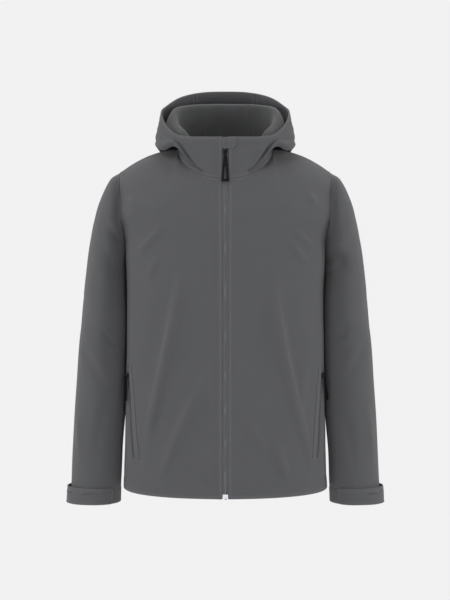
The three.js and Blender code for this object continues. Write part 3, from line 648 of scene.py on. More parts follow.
class NodeBench:
    """Lays out and links the shader nodes of one material."""

    def __init__(self, name: str) -> None:
        """Starts a material with a Principled shader on its surface."""
        self.material = bpy.data.materials.new(name)
        self.material.use_nodes = True
        self.tree = self.material.node_tree
        self.tree.nodes.clear()
        self.shader = self.add("ShaderNodeBsdfPrincipled")
        output = self.add("ShaderNodeOutputMaterial")
        self.link(self.shader.outputs["BSDF"], output.inputs["Surface"])

    def add(self, kind: str, **settings: object) -> bpy.types.Node:
        """Adds a node and gives it its settings; a setting named for an input sets that input."""
        node = self.tree.nodes.new(kind)
        for name, value in settings.items():
            if hasattr(node, name):
                setattr(node, name, value)
            else:
                node.inputs[name.replace("_", " ")].default_value = value
        return node

    def link(self, source: bpy.types.NodeSocket, target: bpy.types.NodeSocket) -> None:
        """Links two sockets."""
        self.tree.links.new(source, target)

    def maths(self, operation: str, *values: float | bpy.types.NodeSocket) -> bpy.types.NodeSocket:
        """A sum, product or other function of numbers and sockets."""
        node = self.add("ShaderNodeMath", operation=operation)
        for slot, value in zip(node.inputs, values):
            if isinstance(value, bpy.types.NodeSocket):
                self.link(value, slot)
            else:
                slot.default_value = value
        return node.outputs[0]

    def noise(self, place: bpy.types.NodeSocket, scale: float, detail: float = 2.0) -> bpy.types.NodeSocket:
        """A noise pattern's value from 0 to 1."""
        node = self.add("ShaderNodeTexNoise", Scale=scale, Detail=detail)
        self.link(place, node.inputs["Vector"])
        return node.outputs["Fac"]

    def spread(self, value: bpy.types.NodeSocket, low: float, high: float) -> bpy.types.NodeSocket:
        """A value from 0 to 1 spread over another range."""
        node = self.add("ShaderNodeMapRange", To_Min=low, To_Max=high)
        self.link(value, node.inputs["Value"])
        return node.outputs["Result"]

    def blend(
        self, share: bpy.types.NodeSocket, first: Sequence[float], second: Sequence[float]
    ) -> bpy.types.NodeSocket:
        """A colour between two, by a share."""
        node = self.add("ShaderNodeMix", data_type="RGBA")
        self.link(share, node.inputs[0])
        node.inputs[6].default_value = (*first, 1)
        node.inputs[7].default_value = (*second, 1)
        return node.outputs[2]

    def paint(self, share: bpy.types.NodeSocket, first: Sequence[float], second: Sequence[float]) -> None:
        """Colours the shader between two colours, by a share."""
        self.link(self.blend(share, first, second), self.shader.inputs["Base Color"])

    def settle(self, **values: float | Sequence[float]) -> None:
        """Sets the shader's own values by name."""
        for name, value in values.items():
            self.shader.inputs[name.replace("_", " ")].default_value = value

    def bump(self, heights: Sequence[tuple[bpy.types.NodeSocket, float, float]]) -> None:
        """Stacks bumps, each a height socket with its strength and its depth in metres."""
        normal = None
        for height, strength, depth in heights:
            node = self.add("ShaderNodeBump", Strength=strength, Distance=depth)
            self.link(height, node.inputs["Height"])
            if normal is not None:
                self.link(normal, node.inputs["Normal"])
            normal = node.outputs["Normal"]
        if normal is not None:
            self.link(normal, self.shader.inputs["Normal"])


def shaded(colour: Sequence[float], share: float) -> tuple[float, ...]:
    """A colour made lighter or darker."""
    return tuple(min(1.0, part * share) for part in colour)


@dataclass(frozen=True)
class ClothFinish:
    """A woven cloth: crossing threads on the piece's own map, mottled colour, and wear with a painted
    highlight beside its seams.
    """

    name: str
    colour: tuple[float, float, float]
    thread_pitch: float
    thread_depth: float
    roughness: tuple[float, float]
    sheen: float
    mottle: float = 0.07
    seam_wear_and_highlight: float = 0.17
    twill: bool = False
    fine_scale: float = 2600.0
    broad_scale: float = 22.0
    wear_and_highlight_between: tuple[float, float] = (0.004, 0.0085)
    fine_tone: float = 0.05
    weave_tone: float = 0.03

    def make(self) -> bpy.types.Material:
        """Builds the material."""
        bench = NodeBench(self.name)
        place = bench.add("ShaderNodeUVMap", uv_map="cloth").outputs["UV"]
        split = bench.add("ShaderNodeSeparateXYZ")
        bench.link(place, split.inputs[0])
        u, v = split.outputs["X"], split.outputs["Y"]
        if self.twill:
            u = bench.maths("ADD", u, v)
        turn = 2 * math.pi / self.thread_pitch
        warp = bench.maths("SINE", bench.maths("MULTIPLY", u, turn))
        weft = bench.maths("SINE", bench.maths("MULTIPLY", v, turn))
        weave = bench.maths("MULTIPLY", warp, weft)
        fine = bench.noise(place, self.fine_scale, 2.0)
        broad = bench.noise(place, self.broad_scale, 4.0)
        # Lighter beside the seams: partly wear, partly a painted highlight where the raised doubled cloth
        # catches light.
        seam = bench.add("ShaderNodeAttribute", attribute_name="seam_distance").outputs["Fac"]
        wear_and_highlight_from, wear_and_highlight_to = self.wear_and_highlight_between
        near_seam = bench.add(
            "ShaderNodeMapRange", From_Min=wear_and_highlight_from, From_Max=wear_and_highlight_to, To_Min=1.0, To_Max=0.0
        )
        near_seam.interpolation_type = "SMOOTHSTEP"
        bench.link(seam, near_seam.inputs["Value"])
        wear_and_highlight_tone = bench.maths("MULTIPLY", near_seam.outputs["Result"], self.seam_wear_and_highlight)
        mottled = bench.spread(broad, -self.mottle, self.mottle)
        grained = bench.spread(fine, -self.fine_tone, self.fine_tone)
        tone = bench.maths("ADD", mottled, grained)
        tone = bench.maths("ADD", tone, bench.maths("MULTIPLY", weave, self.weave_tone))
        tone = bench.maths("ADD", bench.maths("ADD", tone, wear_and_highlight_tone), 0.5)
        bench.paint(tone, shaded(self.colour, 0.5), shaded(self.colour, 1.5))
        bench.link(bench.spread(broad, *self.roughness), bench.shader.inputs["Roughness"])
        bench.settle(Sheen_Weight=self.sheen, Sheen_Roughness=0.45, Specular_IOR_Level=0.25)
        bench.bump([(weave, 0.35, self.thread_depth), (fine, 0.25, self.thread_depth)])
        return bench.material


@dataclass(frozen=True)
class FleeceFinish:
    """A brushed lining: soft, matt and finely tufted."""

    name: str
    colour: tuple[float, float, float]
    tuft_scale: float = 900.0
    broad_scale: float = 35.0

    def make(self) -> bpy.types.Material:
        """Builds the material."""
        bench = NodeBench(self.name)
        place = bench.add("ShaderNodeUVMap", uv_map="cloth").outputs["UV"]
        tufts = bench.noise(place, self.tuft_scale, 3.0)
        broad = bench.noise(place, self.broad_scale, 3.0)
        tone = bench.maths("ADD", bench.spread(tufts, 0.25, 0.6), bench.spread(broad, -0.1, 0.3))
        bench.paint(tone, shaded(self.colour, 0.65), shaded(self.colour, 1.4))
        bench.link(bench.spread(tufts, 0.88, 1.0), bench.shader.inputs["Roughness"])
        bench.settle(Sheen_Weight=0.3, Sheen_Roughness=0.6, Specular_IOR_Level=0.15)
        bench.bump([(tufts, 0.5, 0.0006)])
        return bench.material


@dataclass(frozen=True)
class ThreadFinish:
    """Polyester sewing thread, twisted."""

    name: str
    colour: tuple[float, float, float]
    twist_scale: float = 3000.0

    def make(self) -> bpy.types.Material:
        """Builds the material."""
        bench = NodeBench(self.name)
        place = bench.add("ShaderNodeTexCoord").outputs["Object"]
        twist = bench.noise(place, self.twist_scale, 1.0)
        bench.paint(twist, shaded(self.colour, 0.8), shaded(self.colour, 1.25))
        bench.link(bench.spread(twist, 0.45, 0.65), bench.shader.inputs["Roughness"])
        bench.bump([(twist, 0.3, 0.0002)])
        return bench.material


@dataclass(frozen=True)
class MouldedFinish:
    """Moulded rubber, plastic or painted metal, with a fine grain and rubbed edges."""

    name: str
    colour: tuple[float, float, float]
    roughness: tuple[float, float]
    grain: float
    metal: float = 0.0
    rubbed: float = 1.6
    see_through: float = 0.0
    shine: float = 0.4
    grain_scale: float = 1400.0
    broad_scale: float = 120.0
    edge_between: tuple[float, float] = (0.52, 0.62)

    def make(self) -> bpy.types.Material:
        """Builds the material."""
        bench = NodeBench(self.name)
        place = bench.add("ShaderNodeTexCoord").outputs["Object"]
        grain = bench.noise(place, self.grain_scale, 2.0)
        broad = bench.noise(place, self.broad_scale, 2.0)
        flat, sharp = self.edge_between
        edge = bench.add("ShaderNodeMapRange", From_Min=flat, From_Max=sharp, To_Min=0.0, To_Max=1.0)
        bench.link(bench.add("ShaderNodeNewGeometry").outputs["Pointiness"], edge.inputs["Value"])
        rubbed = bench.maths("MULTIPLY", edge.outputs["Result"], 0.5)
        tone = bench.maths("ADD", bench.spread(broad, 0.0, 0.35), rubbed)
        bench.paint(tone, self.colour, shaded(self.colour, self.rubbed))
        bench.link(bench.spread(grain, *self.roughness), bench.shader.inputs["Roughness"])
        bench.settle(Metallic=self.metal, Specular_IOR_Level=self.shine)
        bench.settle(Subsurface_Weight=self.see_through, Subsurface_Scale=0.003)
        bench.bump([(grain, self.grain, 0.0001)])
        return bench.material


SOFTSHELL = ClothFinish("softshell", (0.086, 0.087, 0.092), 0.0011, 0.0003, (0.74, 0.9), 0.22)
# The trim cloth is painted lighter beside its seams more weakly, as wear and a painted highlight.
TRIM_CLOTH = ClothFinish(
    "softshell_trim", (0.088, 0.089, 0.094), 0.0011, 0.0003, (0.72, 0.88), 0.22, seam_wear_and_highlight=0.1
)
# The fleece lining's colour is about half the outer cloth's: painted shade for the inside of the hood and
# body.
SHADE_DARKENED_LINING = FleeceFinish("fleece_lining_shade_darkened", (0.045, 0.046, 0.048))
# The zip tape is coloured lighter than the cloth as painted light, making up for the shade of the narrow gap
# between the front edges.
ZIP_TAPE_PAINTED_LIGHTER = ClothFinish(
    "zip_tape", (0.125, 0.127, 0.131), 0.0014, 0.0004, (0.6, 0.75), 0.1, mottle=0.04, twill=True
)
THREAD = ThreadFinish("sewing_thread", (0.125, 0.127, 0.132))
COIL = MouldedFinish("zip_coil", (0.19, 0.192, 0.198), (0.4, 0.55), 0.2)
# The pocket zips' tape and coil are coloured darker than the cloth as painted shade in the openings' grooves.
POCKET_TAPE_PAINTED_SHADE = ClothFinish(
    "pocket_zip_tape_painted_shade", (0.06, 0.061, 0.064), 0.0014, 0.0004, (0.7, 0.85), 0.1, mottle=0.04, twill=True
)
POCKET_COIL_PAINTED_SHADE = MouldedFinish("pocket_zip_coil_painted_shade", (0.05, 0.051, 0.053), (0.45, 0.6), 0.2)
RUBBER = MouldedFinish("puller_rubber", (0.003, 0.003, 0.0035), (0.55, 0.72), 0.5, shine=0.15)
SLIDER_METAL = MouldedFinish("slider_metal", (0.012, 0.012, 0.0125), (0.28, 0.42), 0.2, metal=0.6, rubbed=3.0)
TRIM_FINISHES = (TRIM_CLOTH, TRIM_CLOTH)
END_PLASTIC = MouldedFinish("end_box_plastic", (0.78, 0.78, 0.76), (0.25, 0.4), 0.15, see_through=0.3)


class Workroom:
    """Keeps the made materials and puts finished meshes into the scene."""

    def __init__(self) -> None:
        """Starts with no material made."""
        self.materials: dict[str, bpy.types.Material] = {}

    def dress(self, finish: object) -> bpy.types.Material:
        """The material of a finish, made once."""
        if finish.name not in self.materials:
            self.materials[finish.name] = finish.make()
        return self.materials[finish.name]

    def put(
        self, name: str, mesh: bmesh.types.BMesh, finishes: Sequence[object], body: str = ROOT_BODY
    ) -> bpy.types.Object:
        """Turns a mesh into an object that rides on a body.

        Args:
            name: The piece's name.
            mesh: Its mesh, in metres and in place.
            finishes: Its finishes, in the order of the material indexes.
            body: The body that it moves with.

        Returns:
            The object.
        """
        data = bpy.data.meshes.new(name)
        mesh.to_mesh(data)
        mesh.free()
        for finish in finishes:
            data.materials.append(self.dress(finish))
        made = bpy.data.objects.new(name, data)
        bpy.context.scene.collection.objects.link(made)
        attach(made, body)
        LOG.info("%s: %d faces", name, len(data.polygons))
        return made


# Cloth meshes


def cloth_mesh(
    surface: ClothSurface, seams: Sequence[Border], closed: bool = True, facing: float = 0.0
) -> bmesh.types.BMesh:
    """The mesh of a stretch of cloth, its outer face first and its lining as the second material.

    Args:
        surface: The cloth's points, with its inner face's.
        seams: The borders beside which the cloth is painted lighter, partly as wear and partly as a painted
            highlight.
        closed: Whether it has the thickness of its wall.
        facing: How far the outer cloth is turned in beside the top border, in millimetres.

    Returns:
        The mesh, in metres, with a UV map in metres along the threads.
    """
    rows, columns = surface.points.shape[:2]
    mesh = bmesh.new()
    uv = mesh.loops.layers.uv.new("cloth")
    bmesh.ops.create_grid(mesh, x_segments=columns - 1, y_segments=rows - 1, size=0.5)
    place = mesh.verts.layers.int.new("place")
    seam_distance = mesh.verts.layers.float.new("seam_distance")
    outer = surface.points.reshape(-1, 3) * METRES
    inner = surface.inner.reshape(-1, 3) * METRES
    # Distance from the seams, which drives the wear and the painted highlight beside them.
    seam_wear_and_highlight = surface.nearest(seams).ravel() * METRES
    along = surface.distance_from(Border.START).ravel() * METRES
    up = surface.distance_from(Border.BOTTOM).ravel() * METRES
    faced = surface.distance_from(Border.TOP).ravel() < facing
    for index, vert in enumerate(mesh.verts):
        vert.co = outer[index]
        vert[place] = index
        vert[seam_distance] = seam_wear_and_highlight[index]
    for face in mesh.faces:
        face.smooth = True
        for loop in face.loops:
            index = loop.vert[place]
            loop[uv].uv = (along[index], up[index])
    if surface.tube:
        bmesh.ops.remove_doubles(mesh, verts=mesh.verts[:], dist=1e-6)
    if closed:
        shown = set(mesh.faces)
        rim = set(mesh.verts)
        bmesh.ops.solidify(mesh, geom=mesh.faces[:], thickness=WALL * METRES)
        for vert in mesh.verts:
            if vert not in rim:
                vert.co = inner[vert[place]]
        for face in mesh.faces:
            if face in shown:
                continue
            inside = all(vert not in rim for vert in face.verts)
            turned_in = all(faced[vert[place]] for vert in face.verts)
            face.material_index = 1 if inside and not turned_in else 0
            face.smooth = inside
    mesh.normal_update()
    return mesh


def roll_in(
    surface: ClothSurface, borders: Iterable[Border], radius: float = 1.5, depth: float = 1.15
) -> None:
    """Turns the cloth in beside its sewn borders, as seams pull it."""
    for border in borders:
        left = np.clip(1 - surface.distance_from(border) / radius, 0, 1)
        surface.push(-depth * (1 - np.sqrt(np.clip(1 - left * left, 0, 1))))


def sew_down(surface: ClothSurface, distance: Array, line: float, raised: float, groove: float) -> None:
    """Raises the doubled cloth beside a border and draws it in at its stitch line.

    Args:
        surface: The cloth.
        distance: How far each point lies from the border.
        line: The stitch line's distance from the border.
        raised: How far the doubled cloth stands out.
        groove: How deep the stitches pull.
    """
    doubled = 1 - ease(distance, line - 0.6, line + 1.6)
    pulled = np.exp(-(((distance - line) / 1.1) ** 2))
    surface.push(raised * doubled - groove * pulled)


class StitchBook:
    """Collects stitch lines and makes them one mesh for each part of the garment."""

    def __init__(self) -> None:
        """Starts with no stitches."""
        self.lines: dict[str, list[tuple[Array, Array]]] = {}

    def run(self, part: str, surface: ClothSurface, across: Array, up: Array) -> None:
        """Adds a line of stitches along a path on the cloth."""
        across, up = paired(across, up)
        points = surface.place(across, up)
        self.lines.setdefault(part, []).append((points, surface.direction(across, up)))

    def mesh(self, part: str) -> bmesh.types.BMesh:
        """One part's stitches as small rounded lengths of thread."""
        made = bmesh.new()
        for points, normals in self.lines.get(part, []):
            lengths = np.concatenate([[0], np.cumsum(np.linalg.norm(np.diff(points, axis=0), axis=1))])
            count = int(lengths[-1] / STITCH_PITCH)
            for k in range(count):
                at = (k + 0.5) * STITCH_PITCH
                ends = [at - STITCH_LENGTH / 2, at + STITCH_LENGTH / 2]
                first, last, middle, normal = (
                    np.array([np.interp(place, lengths, table[:, axis]) for axis in range(3)])
                    for place, table in ((ends[0], points), (ends[1], points), (at, points), (at, normals))
                )
                along = Vector(unit(last - first))
                out = Vector(unit(normal))
                beside = out.cross(along).normalized()
                out = along.cross(beside)
                turn = Matrix((along, beside, out)).transposed().to_4x4()
                thread = THREAD_WIDTH / 2 * METRES
                size = Matrix.Diagonal((STITCH_LENGTH / 2 * METRES, thread, thread, 1))
                place = Matrix.Translation(Vector((middle + normal * STITCH_SINK) * METRES))
                bmesh.ops.create_icosphere(made, subdivisions=1, radius=1.0, matrix=place @ turn @ size)
        for face in made.faces:
            face.smooth = True
        return made


# The cut panels


def line_beside(
    surface: ClothSurface, border: Border, distance: float, start: float = -1e9, end: float = 1e9
) -> tuple[Array, Array]:
    """A path on the cloth that keeps its distance from a border.

    Args:
        surface: The cloth.
        border: The border.
        distance: The distance in millimetres.
        start: Where the path starts, in the parameter that runs along the border.
        end: Where it ends.

    Returns:
        The first and the second parameter of the path's points.
    """
    table = surface.distance_from(border)
    if border in (Border.START, Border.END):
        keep = (surface.rows >= start) & (surface.rows <= end)
        turned = -1 if border is Border.END else 1
        across = [np.interp(distance, row[::turned], surface.columns[::turned]) for row in table[keep]]
        return np.array(across), surface.rows[keep]
    keep = (surface.columns >= start) & (surface.columns <= end)
    turned = -1 if border is Border.TOP else 1
    up = [np.interp(distance, column[::turned], surface.rows[::turned]) for column in table.T[keep]]
    return surface.columns[keep], np.array(up)


def with_place(places: Array, wanted: float) -> Array:
    """The places, with the nearest one moved to a wanted place."""
    places = places.copy()
    places[np.abs(places - wanted).argmin()] = wanted
    return places


@dataclass
class Cut:
    """A panel's flat cut: its width, its length and its area, in metres."""

    width: float
    length: float
    area: float


@dataclass
class ClothPiece:
    """One panel of the garment: its points, what it stands for, its cut, and where its seams are."""

    name: str
    surface: ClothSurface
    cut: Cut
    seams: tuple[Border, ...]
    rests_on: tuple[str, ...] = ()
    # The second finish is the lining, darkened as painted shade.
    finishes: tuple[object, ...] = (SOFTSHELL, SHADE_DARKENED_LINING)
    slot: str = "softshell"
    facing: float = 0.0

    def make(self, room: Workroom) -> bpy.types.Object:
        mesh = cloth_mesh(self.surface, self.seams, facing=self.facing)
        made = room.put(f"{self.name}_cloth", mesh, self.finishes)
        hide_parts(self.name)
        return made


SIDES = (("left", 1), ("right", -1))

# Soft creases of the fronts, in the front view, x above 0 on the wearer's left
FRONT_CREASES = (
    Crease(-181, -224, -148, -188, -118, -160, 8, 3.2),
    Crease(-158, -276, -146, -246, -130, -221, 7, 2.4),
    Crease(-192, -98, -188, -118, -176, -140, 9, 2.2),
    Crease(-54, -610, -46, -646, -40, -676, 12, 2.2),
    Crease(-88, -256, -115, -400, -172, -652, 9, 5.4),
    Crease(-38, -462, -86, -560, -130, -668, 9, 4.4),
    Crease(-150, -560, -166, -610, -174, -660, 10, -2.0),
    Crease(128, -168, 152, -184, 178, -206, 8, 3.0),
    Crease(128, -198, 146, -216, 163, -239, 7, 2.6),
    Crease(166, -92, 176, -108, 182, -124, 8, 2.4),
    Crease(31, -549, 59, -582, 82, -615, 10, 3.2),
    Crease(94, -256, 118, -420, 176, -655, 9, 5.4),
    Crease(100, -598, 112, -634, 124, -672, 8, 3.4),
    Crease(160, -432, 159, -480, 156, -531, 7, 1.8),
    Crease(148, -570, 158, -615, 168, -664, 10, -1.8),
    Crease(122, -300, 140, -400, 164, -520, 22, -2.4),
    Crease(-120, -310, -142, -410, -174, -520, 22, -2.4),
)
BACK_CREASES = (
    Crease(-176, -190, -140, -170, -96, -168, 11, 2.4),
    Crease(178, -196, 148, -178, 108, -172, 11, 2.2),
    Crease(-150, -250, -128, -222, -104, -206, 10, 1.6),
    Crease(146, -262, 122, -230, 96, -214, 10, 1.8),
    Crease(-20, -520, -34, -590, -30, -668, 20, 2.2),
    Crease(30, -420, 18, -500, 24, -590, 24, -1.8),
    Crease(-60, -140, 0, -156, 66, -138, 13, -1.6),
    Crease(-54, -110, 0, -122, 58, -110, 9, 1.4),
    Crease(120, -520, 152, -590, 170, -664, 14, 1.6),
)
FRONT_CREASE_GAIN = 1.7
WAVE_HEIGHT = 0.7
WAVE_LENGTH = 150.0
ZIP_PUCKER = 0.9
ZIP_PUCKER_LENGTH = 74.0
ZIP_PUCKER_DRIFT = 97.0
ZIP_PUCKER_REACH = 34.0
POCKET_TOP = (198.0, -447.0)
POCKET_BOTTOM = (186.0, -628.0)
POCKET_PITCH = 1.3
POCKET_REACH = (16.0, 11.0)
POCKET_SINK = 2.2
POCKET_LIP = 1.0
POCKET_BULGE = 2.6
HEM_LINE = 19.0
FACE_HEM_LINE = 16.0
CUFF_HEM_LINE = 28.0
ARMHOLE_LINE = 6.0
SEAM_LINE = 5.0
NARROW_ZIP_LINE = 3.0
WIDE_ZIP_LINE = 9.5
ARMHOLE_FROM = ARMPIT_AT + 0.015
RAISED = 0.7
GROOVE = 0.45
SEAM_RAISED = 0.3
SEAM_GROOVE = 0.3


class BodyGrid:
    """Even columns and rows for one front or the back, by lengths along the cloth."""

    LEVEL = 0.33
    COLUMN = 0.5

    def __init__(self, is_back: bool, side: int) -> None:
        """Measures the cloth along one level and one column."""
        self.is_back, self.side = is_back, side
        self.edge = 0.0 if is_back else ZIP_HALF_WIDTH
        dense = 1 - np.linspace(1, 0, 1600) ** 3
        self.dense = dense
        level = self.points(dense, np.full_like(dense, self.LEVEL), raw=True)
        self.width, self.width_shares = self._measure(level)
        self.neck_share = float(np.interp(NECK_SHARE, dense, self.width_shares))
        ups = np.linspace(0, 1, 800)
        self.ups = ups
        column = self.points(np.full_like(ups, self.COLUMN), ups, raw=True)
        self.length, self.length_shares = self._measure(column)

    @staticmethod
    def _measure(points: Array) -> tuple[float, Array]:
        """The length of a line, and the share of it gone at each point."""
        gone = np.concatenate([[0], np.cumsum(np.linalg.norm(np.diff(points, axis=0), axis=1))])
        return float(gone[-1]), gone / gone[-1]

    def points(self, across: Array, up: Array, raw: bool = False) -> Array:
        """Points of the panel for shares of its width, or for its own parameter where raw."""
        if not raw:
            even = np.interp(across, self.width_shares, self.dense)
            own = np.interp(across, (0, self.neck_share, 1), (0, NECK_SHARE, 1))
            across = mix(even, own, ease(up, 0.62, 1.0))
        return body_point(across, up, self.is_back, self.side, self.edge)

    def columns(self) -> Array:
        """Shares of the width, fine beside the seams, with the corner of the neck on one of them."""
        shares = shares_over(self.width, CLOTH_PITCH, fine_start=not self.is_back)
        return with_place(shares, self.neck_share)

    def rows(self) -> Array:
        """The rows from the hem to the top, with the armpit on one of them."""
        shares = shares_over(self.length, CLOTH_PITCH)
        return with_place(np.interp(shares, self.length_shares, self.ups), ARMPIT_AT)


class PocketLine:
    """The line of the pocket's opening on a front, and how far each point of the front lies from it."""

    def __init__(self, grid: BodyGrid) -> None:
        """Finds the line's place across the front for each height."""
        self.width = grid.width
        shares = np.linspace(0, 1, 25)
        ups = np.interp(shares, (0, 1), self._ups(grid))
        wanted = mix(POCKET_BOTTOM[0], POCKET_TOP[0], shares)
        fine = np.linspace(0.5, 1, 500)
        self.ups = ups
        rows = [grid.points(fine, np.full_like(fine, up))[:, 0] for up in ups]
        self.across = np.array([np.interp(x, row, fine) for x, row in zip(wanted, rows)])

    @staticmethod
    def _ups(grid: BodyGrid) -> tuple[float, float]:
        """The rows of the opening's lower and upper end."""
        ups = np.linspace(0, 0.6, 600)
        column = grid.points(np.full_like(ups, 0.85), ups)
        return tuple(float(np.interp(z, column[:, 2], ups)) for z in (POCKET_BOTTOM[1], POCKET_TOP[1]))

    def across_at(self, up: Array) -> Array:
        """The line's place across the front, carried on past its ends."""
        return np.interp(up, self.ups, self.across)

    def share_at(self, up: Array) -> Array:
        """How far up the opening a row is, 0 and 1 at its ends."""
        return (up - self.ups[0]) / (self.ups[-1] - self.ups[0])

    def off(self, across: Array, up: Array) -> Array:
        """How far a place lies from the line along the cloth, towards the side seam, in millimetres."""
        return (np.abs(across) - self.across_at(up)) * self.width

    def columns(self, columns: Array) -> Array:
        """The columns, with close ones round the line."""
        low = self.across.min() - POCKET_REACH[0] / self.width
        high = self.across.max() + POCKET_REACH[1] / self.width
        kept = columns[(columns < low) | (columns > high)]
        close = np.linspace(low, high, round((high - low) * self.width / POCKET_PITCH))
        return np.sort(np.concatenate([kept, close]))

    def lift(self, across: Array, up: Array) -> Array:
        """The groove of the opening, its raised lips, and the loose cloth between it and the side seam."""
        off, share = self.off(across, up), self.share_at(up)
        open_here = ease(share, -0.03, 0.03) * (1 - ease(share, 0.97, 1.03))
        groove = -POCKET_SINK * (1 - ease(np.abs(off), 2.6, 4.6))
        lips = POCKET_LIP * np.exp(-(((np.abs(off) - 5.6) / 1.7) ** 2))
        loose = ease(share, -0.15, 0.3) * (1 - ease(share, 0.7, 1.15))
        bulge = POCKET_BULGE * loose * np.exp(-(((off - 13) / 7) ** 2))
        return (groove + lips) * open_here + bulge


def sew_armholes(cloth: ClothSurface, sides: Iterable[Border]) -> None:
    """Sews down the edges of a body panel's armholes, which start at the armpit."""
    to_side = np.where((cloth.rows >= ARMPIT_AT)[:, None], cloth.nearest(sides), OUT_OF_REACH)
    sew_down(cloth, to_side, ARMHOLE_LINE, RAISED, GROOVE)


@dataclass
class FrontPanel:
    """One front, from the zip to the side seam and from the hem to the neck and the shoulder."""

    name: str
    side: int
    book: StitchBook
    surface: ClothSurface = field(init=False)
    pocket: PocketLine = field(init=False)
    zip_border: Border = field(init=False)
    side_border: Border = field(init=False)

    def __post_init__(self) -> None:
        """Shapes the cloth and sews its edges."""
        grid = BodyGrid(False, self.side)
        self.pocket = PocketLine(grid)
        columns = self.pocket.columns(grid.columns())
        if self.side < 0:
            columns = -columns[::-1]

        def shape(across: Array, up: Array) -> Array:
            """The front's points, on its own side."""
            return grid.points(np.abs(across), up) * np.array((self.side, 1, 1))

        self.surface = ClothSurface(columns, grid.rows(), shape)
        self.zip_border = Border.START if self.side > 0 else Border.END
        self.side_border = Border.END if self.side > 0 else Border.START
        self._crease()
        self._sew()

    def _crease(self) -> None:
        """Lays the soft creases, the zip's puckers and the pocket's dip."""
        cloth = self.surface
        x, z = cloth.points[..., 0], cloth.points[..., 2]
        inside = ease(cloth.nearest((self.side_border, Border.TOP)), 2, 26)
        from_zip = cloth.distance_from(self.zip_border)
        lift = FRONT_CREASE_GAIN * crease_lift(FRONT_CREASES, x, z)
        lift = lift + soft_waves(x, z, WAVE_HEIGHT, WAVE_LENGTH, 0.7 * self.side)
        drift = 1.1 * self.side + 1.4 * np.sin(z / ZIP_PUCKER_DRIFT)
        pucker = np.sin(2 * np.pi * (z / ZIP_PUCKER_LENGTH) + drift)
        below_neck = ease(cloth.distance_from(Border.TOP), 5, 60)
        near_zip = np.exp(-((from_zip / ZIP_PUCKER_REACH) ** 2)) * below_neck
        cloth.push((lift * inside * ease(from_zip, 0, 20)) + ZIP_PUCKER * pucker * near_zip)
        cloth.push(self.pocket.lift(cloth.across, cloth.up))
        cloth.give_wall(WALL)

    def _sew(self) -> None:
        """Rolls the seams, raises the doubled edges and runs their stitches."""
        cloth = self.surface
        sew_down(cloth, cloth.distance_from(Border.BOTTOM), HEM_LINE, RAISED, GROOVE)
        zip_line = WIDE_ZIP_LINE if self.side < 0 else SEAM_LINE
        sew_down(cloth, cloth.distance_from(self.zip_border), zip_line, RAISED, GROOVE)
        sew_armholes(cloth, (self.side_border,))
        sew_down(cloth, cloth.distance_from(Border.TOP), SEAM_LINE, SEAM_RAISED, SEAM_GROOVE)
        roll_in(cloth, (self.side_border, Border.TOP))
        roll_in(cloth, (self.zip_border, Border.BOTTOM), radius=1.0, depth=0.8)
        for line in (NARROW_ZIP_LINE, WIDE_ZIP_LINE) if self.side < 0 else (SEAM_LINE,):
            self.book.run("fronts", cloth, *line_beside(cloth, self.zip_border, line))
        self.book.run("fronts", cloth, *line_beside(cloth, Border.BOTTOM, HEM_LINE))
        self.book.run("fronts", cloth, *line_beside(cloth, self.side_border, ARMHOLE_LINE, ARMHOLE_FROM))
        self.book.run("fronts", cloth, *line_beside(cloth, Border.TOP, SEAM_LINE))

    def piece(self) -> ClothPiece:
        """The panel to be made."""
        seams = (self.side_border, Border.TOP, self.zip_border, Border.BOTTOM)
        return ClothPiece(self.name, self.surface, Cut(0.3, 0.71, 0.183), seams, ("back",))


@dataclass
class BackPanel:
    """The back, from one side seam to the other."""

    book: StitchBook
    surface: ClothSurface = field(init=False)

    def __post_init__(self) -> None:
        """Shapes the cloth and sews its edges."""
        halves = {side: BodyGrid(True, side) for _, side in SIDES}
        half = halves[1].columns()
        columns = np.concatenate([-half[::-1], half[1:]])

        def shape(across: Array, up: Array) -> Array:
            """The back's points; the wearer's left comes first."""
            left = halves[1].points(np.abs(across), up)
            right = halves[-1].points(np.abs(across), up) * np.array((-1, 1, 1))
            return np.where((across <= 0)[:, None], left, right)

        self.surface = ClothSurface(columns, halves[1].rows(), shape)
        cloth = self.surface
        x, z = cloth.points[..., 0], cloth.points[..., 2]
        inside = ease(cloth.nearest((Border.START, Border.END, Border.TOP)), 2, 26)
        lift = crease_lift(BACK_CREASES, x, z) + soft_waves(x, z, WAVE_HEIGHT, WAVE_LENGTH, 2.3)
        cloth.push(lift * inside)
        cloth.give_wall(WALL)
        sew_down(cloth, cloth.distance_from(Border.BOTTOM), HEM_LINE, RAISED, GROOVE)
        sew_armholes(cloth, (Border.START, Border.END))
        sew_down(cloth, cloth.distance_from(Border.TOP), SEAM_LINE, SEAM_RAISED, SEAM_GROOVE)
        roll_in(cloth, (Border.START, Border.END, Border.TOP))
        roll_in(cloth, (Border.BOTTOM,), radius=1.0, depth=0.8)
        self.book.run("back", cloth, *line_beside(cloth, Border.BOTTOM, HEM_LINE))
        self.book.run("back", cloth, *line_beside(cloth, Border.TOP, SEAM_LINE))
        for border in (Border.START, Border.END):
            self.book.run("back", cloth, *line_beside(cloth, border, ARMHOLE_LINE, ARMHOLE_FROM))

    def piece(self) -> ClothPiece:
        """The panel to be made."""
        seams = (Border.START, Border.END, Border.TOP, Border.BOTTOM)
        return ClothPiece("back", self.surface, Cut(0.6, 0.76, 0.368), seams, ("front_left", "front_right"))


class SleeveCrease(NamedTuple):
    """A crease of a sleeve through three places, each a turn round it in degrees and a place along it."""

    turn0: float
    along0: float
    turn1: float
    along1: float
    turn2: float
    along2: float
    width: float
    height: float


